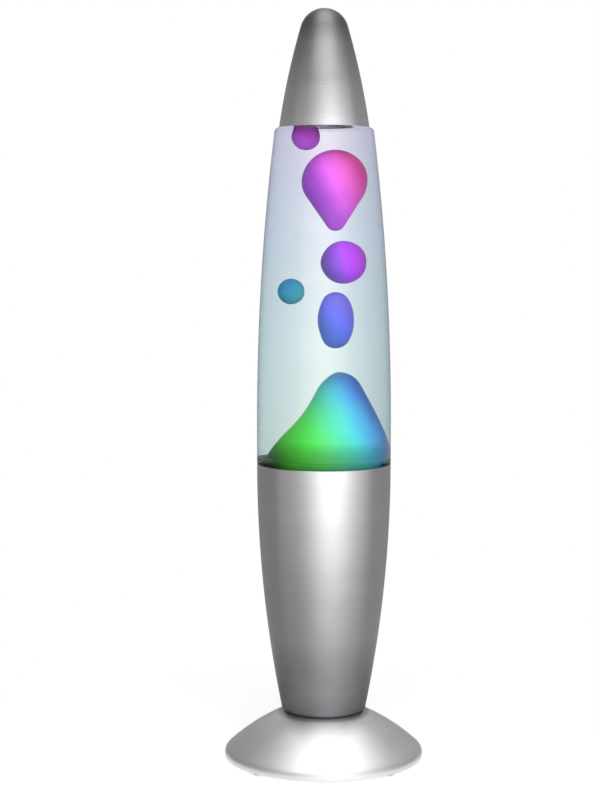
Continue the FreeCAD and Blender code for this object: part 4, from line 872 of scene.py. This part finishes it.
# %% Build the handling once
handling, given, result = group("handling", {"Clouds": 30.0, "Grain": 900.0}, ["Cloud", "Grain"])
place = add(handling, "TexCoord").outputs["Object"]
cloud = add(handling, "TexNoise", Vector=place, Scale=given["Clouds"], Detail=5.0, Roughness=0.6).outputs[0]
grain = add(handling, "TexNoise", Vector=place, Scale=given["Grain"], Detail=3.0, Roughness=0.65).outputs[0]
join(handling, cloud, result["Cloud"])
join(handling, grain, result["Grain"])
print("handling:", len(handling.nodes), "nodes")

# %% [markdown]
# ## Spun aluminium
# The cup, the foot and the cap are satin aluminium. Rings and clouds move its grey and its roughness a
# little, and the rings alone feed a Bump node. Grooves that run round the axis spread light up and down,
# which draws the tall bright streak on such metal. Anisotropy of the Principled shader does that: its
# tangent runs round the axis already, so the spread is turned by a quarter.

# %% Finish the spun metal
def spun_metal(slot, dark, light, painted_shade, rough, rings, worn_from, worn_to):
    """Aluminium with satin rings. Its grey follows 0.65 * marks + 0.35 * cloud, and its roughness is rough +
    0.1 * (marks - 0.5) + 0.1 * (cloud - 0.5). Hands and dust make it duller from the height worn_from to
    worn_to, where 0.2 is added. Its colour is then multiplied by a grey that changes with height, given as
    (height in millimetres, colour) pairs: painted shade."""
    tree, shader = new_material(slot, Metallic=1.0, Anisotropic=0.35, Anisotropic_Rotation=0.25)
    marks = use(tree, lathe_marks, Rings=rings)["Marks"]
    cloud = use(tree, handling, Clouds=26.0)["Cloud"]
    even = calc(tree, "MULTIPLY_ADD", cloud, 0.35, calc(tree, "MULTIPLY", marks, 0.65))
    clean = ramp(tree, even, (0.3, dark), (0.7, light))
    height = object_xyz(tree)["Z"]
    worn = add(tree, "MapRange", Value=height, From_Min=worn_from, From_Max=worn_to).outputs[0]
    join(tree, darkened(tree, clean, by_height(tree, *painted_shade)), shader["Base Color"])
    dull = calc(tree, "MULTIPLY_ADD", calc(tree, "ADD", marks, cloud), 0.1, rough - 0.1)
    dull = calc(tree, "MULTIPLY_ADD", worn, 0.2, dull)
    join(tree, dull, shader["Roughness"])
    relief(tree, shader, marks, 0.12, 0.0001)


# Painted shade: a dark band on the foot's crown where the cup stands on it, the cup darker towards its
# bottom, and the cap darker up its side and most at its tip.
foot_crown_shade = [(0, "f8f8f8"), (10, "ffffff"), (25.8, "ffffff"), (26.8, "c4c4c6"), (28, "bcbcbe")]
cup_bottom_shade = [(29, "949496"), (36, "a8a8aa"), (45, "c8c8ca"), (60, "ececed"), (72, "ffffff")]
cap_side_shade = [(358, "ffffff"), (373, "ececec"), (390, "d0d0d1")]
cap_tip_shade = [(400, "bcbcbd"), (407, "a0a0a2"), (414, "88888a")]
low_shade_and_dulling = dict(painted_shade=foot_crown_shade + cup_bottom_shade, worn_from=0.06, worn_to=0.0)
spun_metal("spun_aluminium", "dadadc", "ececed", rough=0.3, rings=1500.0, **low_shade_and_dulling)
tip_shade_and_dulling = dict(painted_shade=cap_side_shade + cap_tip_shade, worn_from=0.38, worn_to=0.42)
spun_metal("cap_aluminium", "dcdcde", "eeeeef", rough=0.28, rings=1700.0, **tip_shade_and_dulling)

# %% [markdown]
# ## The other metals
# Zinc plating, brass, tin and wire differ in colour, gloss and grain, but are made alike: clouds darken
# them where they are tarnished, and the same clouds make them duller there. So one function with five
# values gives them all.

# %% Finish the plain metals
def plain_metal(slot, dark, light, rough, grain, pits=0.00003):
    """Metal with tarnish: the cloud picks the colour, and roughness = rough + 0.25 * (cloud - 0.5).
    The grain is a relief as deep as the pits, in metres."""
    tree, shader = new_material(slot, Metallic=1.0)
    worn = use(tree, handling, Clouds=160.0, Grain=grain)
    join(tree, ramp(tree, worn["Cloud"], (0.35, dark), (0.62, light)), shader["Base Color"])
    join(tree, calc(tree, "MULTIPLY_ADD", worn["Cloud"], 0.25, rough - 0.125), shader["Roughness"])
    relief(tree, shader, worn["Grain"], 0.3, pits)


plain_metal("zinc_steel", "9b9fa6", "c3c7cd", 0.34, 1400.0)
plain_metal("holder_brass", "a98443", "dcb96d", 0.28, 1800.0)
plain_metal("solder", "8d8f92", "b9bbbe", 0.42, 1200.0, 0.00008)
plain_metal("bulb_tin", "aeaca8", "d6d4cf", 0.26, 2200.0)
plain_metal("silvering", "dcdcde", "ededef", 0.16, 2600.0)
plain_metal("nickel_wire", "8f8b80", "b3afa4", 0.3, 3000.0)
plain_metal("tungsten", "56534f", "75716c", 0.38, 4000.0)
plain_metal("spring_steel", "7e8288", "a6abb1", 0.3, 2500.0)
plain_metal("crown_tin", "b3b3b0", "d9d9d5", 0.24, 1900.0)

# %% [markdown]
# ## Moulded pieces
# Rubber, nylon, phenolic plastic, glazed ceramic and black glass are not metal: their colour is their
# own, and the light on them is a plain gloss. Rubber is dull and finely pitted, a glaze is shiny and
# slightly wavy.

# %% Finish the moulded pieces
def moulded(slot, dark, light, rough, grain, pits, strength=0.3, coat=0.0):
    """A dull or shiny solid: clouds shift its colour, and grain as deep as the pits gives it a skin. Its
    roughness = rough + 0.16 * (grain - 0.5)."""
    tree, shader = new_material(slot, Coat_Weight=coat, Coat_Roughness=0.08)
    worn = use(tree, handling, Clouds=90.0, Grain=grain)
    join(tree, ramp(tree, worn["Cloud"], (0.3, dark), (0.7, light)), shader["Base Color"])
    join(tree, calc(tree, "MULTIPLY_ADD", worn["Grain"], 0.16, rough - 0.08), shader["Roughness"])
    relief(tree, shader, worn["Grain"], strength, pits)


moulded("black_rubber", "17171a", "26262a", 0.74, 1600.0, 0.00012, 0.5)
moulded("black_nylon", "1b1b1e", "2a2a2e", 0.46, 1200.0, 0.00006)
moulded("holder_plastic", "211d1a", "332d28", 0.36, 900.0, 0.00005)
moulded("white_ceramic", "dcd9cf", "ebe9e1", 0.3, 420.0, 0.00008, 0.2, 0.7)
moulded("black_glass", "0b0b0e", "17171c", 0.12, 500.0, 0.00004, 0.15)
moulded("liner_plastic", "c9cbc4", "dadcd6", 0.5, 1300.0, 0.00005)

# %% [markdown]
# ## Glass
# Clear glass needs a Transmission Weight of 1 and little colour. Its blue-grey edges come from depth:
# light that runs along the wall passes through ten times more glass than light that crosses it. A ramp on
# Layer Weight gives that change. Volume Absorption would do it too, but only in a piece with one material,
# because a ray leaves a volume by the material that it came in by, and the bottle has two: dry glass
# outside and wet glass inside. Shadow rays would stop at the glass and leave the wax dark, because bent
# light is slow to find, so these materials let them pass with a Light Path. Glass and liquid bend light
# less here than the real 1.5 and 1.33, so that the wax looks as wide as it is.

# %% Finish the glass
WHITE = (1.0, 1.0, 1.0, 1.0)
IN_GLASS, IN_LIQUID, SHADOW_PASS = 1.3, 1.07, 0.95


def clear(slot, ior, depth_colour="ffffff", density=0.0):
    """A see-through material. Its alpha is 1, less SHADOW_PASS for shadow rays, so they cross it almost
    unchanged. With a density it tints light by depth."""
    tree, shader = new_material(slot, Transmission_Weight=1.0, IOR=ior, Roughness=0.0)
    shader["Base Color"].default_value = WHITE
    shadow = add(tree, "LightPath").outputs["Is Shadow Ray"]
    join(tree, calc(tree, "MULTIPLY_ADD", shadow, -SHADOW_PASS, 1.0), shader["Alpha"])
    if density:
        depth = add(tree, "VolumeAbsorption", Color=linear(depth_colour), Density=density)
        join(tree, depth.outputs[0], tree.nodes["Material Output"].inputs["Volume"])
    return tree, shader


def second_finish(made, name, ior, where):
    """A copy of a piece's material with another IOR, for the faces that the array picks."""
    finish = made.data.materials[0].copy()
    finish.name = name
    finish.node_tree.nodes["Principled BSDF"].inputs["IOR"].default_value = ior
    made.data.materials.append(finish)
    made.data.polygons.foreach_set("material_index", where.astype("i"))
    return finish.node_tree


tree, shader = clear("bottle_glass", IN_GLASS)
facing = add(tree, "LayerWeight", Blend=0.5).outputs["Facing"]
edge_tint = [(0.0, "ffffff"), (0.08, "f2f5f7"), (0.25, "e9eef1"), (0.6, "e0e7eb"), (0.9, "c6d0da")]
join(tree, ramp(tree, facing, *edge_tint), shader["Base Color"])
second_finish(bottle, "bottle_glass_wet", IN_GLASS / IN_LIQUID, wet)
print("faces with wet glass:", sum(face.material_index == 1 for face in bottle.data.polygons))

# %% [markdown]
# ## Liquid
# The liquid has a volume, which tints the light by its depth, and a pale colour that goes from green at the
# bottom to violet at the top: painted light, standing in for the coloured glow that the wax beside it casts
# into the liquid. It bends no light where it touches the glass, since the wet glass has done that. Its
# surface in the neck has a material of its own, without the volume, which bends light as liquid against air
# does.

# %% Finish the liquid
tree, shader = clear("motion_liquid", ior=1.0, depth_colour="c4dcd8", density=2.0)
# Painted light: the pale colours up the liquid stand in for the wax's coloured glow.
tint = by_height(tree, (170, "eefaf1"), (242, "edf9fa"), (296, "eef2fc"), (350, "f3eafa"))
join(tree, tint, shader["Base Color"])
tree = second_finish(liquid, "motion_liquid_surface", IN_LIQUID, is_surface)
tree.links.remove(tree.nodes["Material Output"].inputs["Volume"].links[0])
print("faces of the liquid's surface:", int(is_surface.sum()))

# %% [markdown]
# ## The bulb's glass
# The bulb's dome is frosted, so that the filament doesn't glare, and its flank is clear over the silver.
# The frost is a rough gloss that sets in over a few millimetres of height. The stem inside, which holds
# the wires, is plain clear glass.

# %% Finish the bulb's glass
tree, shader = clear("bulb_glass", ior=1.5)
frost_from, frost_to, polished, frosted = 0.102, 0.105, 0.03, 0.42
edges = dict(From_Min=frost_from, From_Max=frost_to, To_Min=polished, To_Max=frosted)
frost = add(tree, "MapRange", Value=object_xyz(tree)["Z"], **edges)
join(tree, frost.outputs[0], shader["Roughness"])
clear("stem_glass", ior=1.5)
print("frosted from", frost_to / MM, "mm up")

# %% [markdown]
# ## Coloured wax
# The wax glows, because light from the bulb scatters inside it, and its colour changes from piece to
# piece and across each one. A ramp along a slanting direction gives the change, a soft cloud of noise
# keeps it from looking printed, and a little emission in the same colour gives the glow.

# %% Build the slanting colour change once
drift, given, result = group("wax_drift", {"Across": 1.0, "Up": 0.3, "Start": 0.0, "Cloud": 0.1}, ["Share"])
place = add(drift, "TexCoord").outputs["Object"]
parts = add(drift, "SeparateXYZ", Vector=place).outputs
upward = calc(drift, "MULTIPLY_ADD", parts["Z"], given["Up"], given["Start"])
slanting = calc(drift, "MULTIPLY_ADD", parts["X"], given["Across"], upward)
noise = add(drift, "TexNoise", Vector=place, Scale=45.0, Detail=2.0).outputs[0]
waver = calc(drift, "MULTIPLY", calc(drift, "SUBTRACT", noise, 0.5), given["Cloud"])
join(drift, calc(drift, "ADD", slanting, waver), result["Share"])
print("wax drift:", len(drift.nodes), "nodes")


# %% Finish the wax
def wax_finish(slot, low, high, *stops, shades=()):
    """Wax whose ramp runs from the point low to the point high, each (across, height) in millimetres. Shades
    are (height, grey) pairs that multiply its colour there: painted shade."""
    tree, shader = new_material(slot, Roughness=0.42, IOR=1.2, Emission_Strength=0.15)
    run = (np.array(high) - np.array(low)) * MM
    step = run / (run @ run)
    start = -float(step @ (np.array(low) * MM))
    share = use(tree, drift, Across=float(step[0]), Up=float(step[1]), Start=start)["Share"]
    colour = ramp(tree, share, *stops)
    if shades:
        colour = darkened(tree, colour, by_height(tree, *shades))
    join(tree, colour, shader["Base Color"])
    join(tree, colour, shader["Emission Color"])


# The darkest greens at the ramp's left end are partly painted shade along the settled wax's left edge; the
# change from green through cyan to blue is the wax's colour.
greens_shaded_left = [(0.0, "144400"), (0.1, "2c8412"), (0.2, "4ecc2c"), (0.33, "54e448"), (0.43, "56e858")]
cyans = [(0.54, "58e888"), (0.64, "54e6b8"), (0.73, "58e6e0"), (0.81, "5cd0f8")]
blues = [(0.88, "60b0f4"), (0.95, "4c7cd0")]
# Painted shade on the settled wax: a painted shadow of the cup's lip along its lowest edge, and its top
# darker and a little bluer.
lip_shadow = [(170, "a8a8a8"), (174, "b4b4b4"), (178, "cccccc"), (182.5, "f4f4f4"), (189, "f8f8f8")]
cone_top_shade = [(199, "ececec"), (208, "d0d2e6"), (215, "b2b4c8"), (221, "a0a2b0")]
wax_finish("wax_green_blue", (-32, 170), (28, 200), *greens_shaded_left, *cyans, *blues, shades=lip_shadow + cone_top_shade)
violets, pinks = [(0.0, "9c48cc"), (0.25, "b450d4"), (0.45, "ee68ee")], [(0.62, "f464d0"), (0.8, "dc4c9c")]
wax_finish("wax_pink", (-12, 318), (24, 336), *violets, *pinks, (1.0, "b83c70"))
ball = [(0.0, "5c3ca6"), (0.3, "8a4cd2"), (0.5, "bc4af2"), (0.75, "c046e6"), (1.0, "a848be")]
wax_finish("wax_violet", (0, 276), (23, 284), *ball)
oval = [(0.0, "3860b4"), (0.3, "4866cc"), (0.55, "646ae4"), (1.0, "7264c8")]
wax_finish("wax_blue", (-3, 238), (17, 256), *oval)
wax_finish("wax_purple", (-5, 356), (-13, 343), (0.0, "7a2a78"), (0.5, "a844b4"), (1.0, "c060dc"))
wax_finish("wax_teal", (-23, 268), (-11, 260), (0.0, "3a8cb4"), (0.5, "3f94b0"), (1.0, "58a49c"))
print("materials:", len(bpy.data.materials))

# %% [markdown]
# ## The camera
# The photograph was taken from a little over a metre away, slightly above the middle of the lamp, with a
# long lens. The lamp stands a little to the right of the picture's middle, so the camera looks past it.

# %% Place the camera
def aim(thing, place, target):
    """Puts a lamp or the camera at a place, looking at a target: its -Z axis points there, +Y is up."""
    thing.location = place
    thing.rotation_euler = (Vector(target) - Vector(place)).to_track_quat("-Z", "Y").to_euler()


camera = linked("camera", bpy.data.cameras.new("camera"))
camera.data.lens = 84.7
camera.data.sensor_width = 36.0
camera.data.clip_end = 50.0
aim(camera, (0.0, -1.05, 0.295), (-0.0134, 0.0, 0.2036))
bpy.context.scene.camera = camera

# %% [markdown]
# ## Two soft lamps
# One large soft lamp stands beside the camera and one hangs above. They light the wax and the floor. Metal
# doesn't show them: what polished metal shows is its surroundings, and those are drawn in the world below,
# where their edges can be soft.

# %% Hang the soft lamps
def soft_light(name, place, target, width, height, radiance):
    """A flat rectangular lamp. Its power is radiance * pi * area."""
    lamp = bpy.data.lights.new(name, "AREA")
    lamp.shape = "RECTANGLE"
    lamp.size, lamp.size_y = width, height
    lamp.energy = radiance * np.pi * width * height
    thing = linked(name, lamp)
    thing.visible_camera = thing.visible_glossy = thing.visible_transmission = False
    aim(thing, place, target)


soft_light("front_light", (0.06, -0.85, 0.26), (0.0, 0.0, 0.22), width=0.45, height=0.45, radiance=8.5)
soft_light("top_light", (0.05, -0.25, 1.1), (0.0, 0.0, 0.1), width=0.5, height=0.7, radiance=1.2)

# %% [markdown]
# ## The studio around the lamp
# Polished metal shows its surroundings, so they are painted in the world: dim walls that are a little
# lighter on the right and above, a tall soft window behind the camera, and a bright ceiling that is wider
# towards the front. The window is a bell curve of the direction's sideways and upward parts:
# exp(-(sideways / width)^2 - (upwards / height)^2). It leans to the right higher up. The ceiling's curve
# takes the fourth power of the sideways part instead, which stays flat across the top and then falls fast.
# A dimmer window behind the lamp gives the metal a streak from the rear too. It leaves a dark band at the
# level of the lamp, so that the metal's edges stay dark from the front.

# %% Paint the studio
world = bpy.data.worlds.new("studio")
bpy.context.scene.world = world
world.use_nodes = True
tree = world.node_tree
way = add(tree, "SeparateXYZ", Vector=add(tree, "TexCoord").outputs["Generated"]).outputs


def bell(*parts):
    """exp(-(a^2 + b^2 + ...)) of the given parts."""
    total = calc(tree, "MULTIPLY", parts[0], parts[0])
    for part in parts[1:]:
        total = calc(tree, "MULTIPLY_ADD", part, part, total)
    return calc(tree, "EXPONENT", calc(tree, "MULTIPLY", total, -1.0))


ahead = calc(tree, "MULTIPLY", way["Y"], -1.0)
wall_light, lighter_right, lighter_above = 0.27, 0.03, 0.1
walls = calc(tree, "MULTIPLY_ADD", way["X"], lighter_right, wall_light)
walls = calc(tree, "MULTIPLY_ADD", way["Z"], lighter_above, walls)

turned_by, half_width, half_above, half_below, lean = np.radians(13.0), 0.66, 0.33, 0.27, 0.44
sideways = calc(tree, "MULTIPLY", way["X"], np.cos(turned_by) / half_width)
sideways = calc(tree, "MULTIPLY_ADD", way["Y"], np.sin(turned_by) / half_width, sideways)
above, below = calc(tree, "MAXIMUM", way["Z"], 0.0), calc(tree, "MINIMUM", way["Z"], 0.0)
sideways = calc(tree, "MULTIPLY_ADD", above, -lean, sideways)
upwards = calc(tree, "MULTIPLY_ADD", above, 1 / half_above, calc(tree, "MULTIPLY", below, 1 / half_below))
window = calc(tree, "MULTIPLY", bell(sideways, upwards), smooth(tree, ahead, -0.1, 0.3))

least_width, widening, off_middle = 0.42, 0.41, 0.06
width = calc(tree, "MULTIPLY_ADD", calc(tree, "MAXIMUM", ahead, 0.0), widening, least_width)
across = calc(tree, "DIVIDE", calc(tree, "SUBTRACT", way["X"], off_middle), width)
ceiling = calc(tree, "MULTIPLY", smooth(tree, way["Z"], 0.5, 0.8), smooth(tree, ahead, -0.6, -0.3))
ceiling = calc(tree, "MULTIPLY", ceiling, bell(calc(tree, "MULTIPLY", across, across)))

rear_width = 0.3
off_level = smooth(tree, calc(tree, "ABSOLUTE", way["Z"]), 0.2, 0.34)
rear_window = calc(tree, "MULTIPLY", bell(calc(tree, "DIVIDE", way["X"], rear_width)), off_level)
rear_window = calc(tree, "MULTIPLY", rear_window, smooth(tree, way["Y"], 0.5, 0.8))

studio = walls
for part, radiance in ((ceiling, 2.1), (window, 2.3), (rear_window, 0.75)):
    studio = calc(tree, "MULTIPLY_ADD", part, radiance, studio)
print("studio:", len(tree.nodes), "nodes")

# %% [markdown]
# ## What each ray sees
# A Light Path tells rays apart. The camera sees plain white. Mirrored rays see the studio. Rays that leave
# wax or rubber see an even light, more of it from the white backdrop behind the lamp. A ray that goes
# straight through glass sees the white backdrop, a little darker on one side, and never the window. But
# wax inside the glass is lit by rays that pass through the glass too. So a ray counts as straight only if
# it hasn't left a dull surface before, and the others see the studio, as mirrored rays do.

# %% Share the studio out among the rays
path = add(tree, "LightPath").outputs
front_light, more_behind, shade_on_left = 0.2, 0.35, 0.2
even_light = calc(tree, "MULTIPLY_ADD", smooth(tree, way["Y"], -0.2, 0.6), more_behind, front_light)
straight = calc(tree, "LESS_THAN", path["Diffuse Depth"], 0.5)
clear_view = calc(tree, "MULTIPLY", path["Is Transmission Ray"], straight)
glossy = calc(tree, "MAXIMUM", calc(tree, "SUBTRACT", path["Is Glossy Ray"], clear_view), 0.0)
lit = calc(tree, "MULTIPLY_ADD", glossy, calc(tree, "SUBTRACT", studio, even_light), even_light)
left = calc(tree, "MULTIPLY", way["X"], -1.0)
through = calc(tree, "MULTIPLY_ADD", smooth(tree, left, 0.0, 0.2), -shade_on_left, 1.0)
seen_through = calc(tree, "MULTIPLY", clear_view, through)
strength = calc(tree, "MAXIMUM", lit, calc(tree, "MAXIMUM", path["Is Camera Ray"], seen_through))
world_light = tree.nodes["Background"].inputs
world_light["Color"].default_value = WHITE
join(tree, strength, world_light["Strength"])
print("world:", len(tree.nodes), "nodes")

# %% [markdown]
# ## The floor
# The floor is a wide disc of matt white. A plane would do, but the grid makes a disc as well, and it has no
# corners that could show. It belongs to the stage and not to the lamp.

# %% Lay the floor
turn = full_circle(96)
rings = np.array([0.0, 200.0, 400.0, 900.0, 2000.0, 6000.0])
floor = grid("floor", np.outer(np.cos(turn), rings), np.outer(np.sin(turn), rings), np.zeros((1, len(rings))))
floor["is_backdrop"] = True
dressed["floor_paint"] = [floor]
print("floor:", rings[-1] * MM, "m in radius")

# %% [markdown]
# ## The floor's paint
# The photograph's floor is as white as what is behind it and keeps only a faint shadow. So the floor glows
# a little for the camera, and more for what glass and metal show of it. Farther away it becomes plain
# white light, so that floor and background meet unseen. The foot's rim mirrors the white beside it. Beyond
# that the floor lets mirrored rays pass, and they see the studio.

# %% Paint the floor
CAMERA_GLOW, MIRRORED_GLOW = 0.56, 0.7
BESIDE_THE_FOOT, WHITE_FROM, OPEN_FROM = 0.06, 0.25, 0.09
tree, shader = new_material("floor_paint", Roughness=0.9, Specular_IOR_Level=0.0)
shader["Base Color"].default_value = (0.85, 0.85, 0.85, 1.0)
shader["Emission Color"].default_value = WHITE
path = add(tree, "LightPath").outputs
glossy = path["Is Glossy Ray"]
mirrored = calc(tree, "MAXIMUM", path["Is Transmission Ray"], glossy)
seen = calc(tree, "MAXIMUM", path["Is Camera Ray"], mirrored)
place = add(tree, "TexCoord").outputs["Object"]
far = add(tree, "VectorMath", {"operation": "LENGTH"}, Vector=place).outputs["Value"]
glow = calc(tree, "MULTIPLY", mirrored, MIRRORED_GLOW)
glow = calc(tree, "MULTIPLY_ADD", path["Is Camera Ray"], CAMERA_GLOW, glow)
join(tree, glow, shader["Emission Strength"])
white = add(tree, "Emission", Color=WHITE, Strength=1.0).outputs[0]
farness = calc(tree, "MULTIPLY", smooth(tree, far, BESIDE_THE_FOOT, WHITE_FROM), seen)
near_and_far = add(tree, "MixShader", Fac=farness)
join(tree, tree.nodes["Principled BSDF"].outputs[0], near_and_far.inputs[1])
join(tree, white, near_and_far.inputs[2])
openness = calc(tree, "MULTIPLY", smooth(tree, far, BESIDE_THE_FOOT, OPEN_FROM), glossy)
open_to_studio = add(tree, "MixShader", Fac=openness)
join(tree, near_and_far.outputs[0], open_to_studio.inputs[1])
join(tree, add(tree, "BsdfTransparent").outputs[0], open_to_studio.inputs[2])
join(tree, open_to_studio.outputs[0], tree.nodes["Material Output"].inputs["Surface"])
bpy.context.scene.view_settings.view_transform = "Standard"
print("floor paint:", len(tree.nodes), "nodes")

# %% [markdown]
# ## Finish
# The box round every dressed piece that renders, the floor left out, is measured last.

# %% Measure the dressed lamp
low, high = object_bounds()
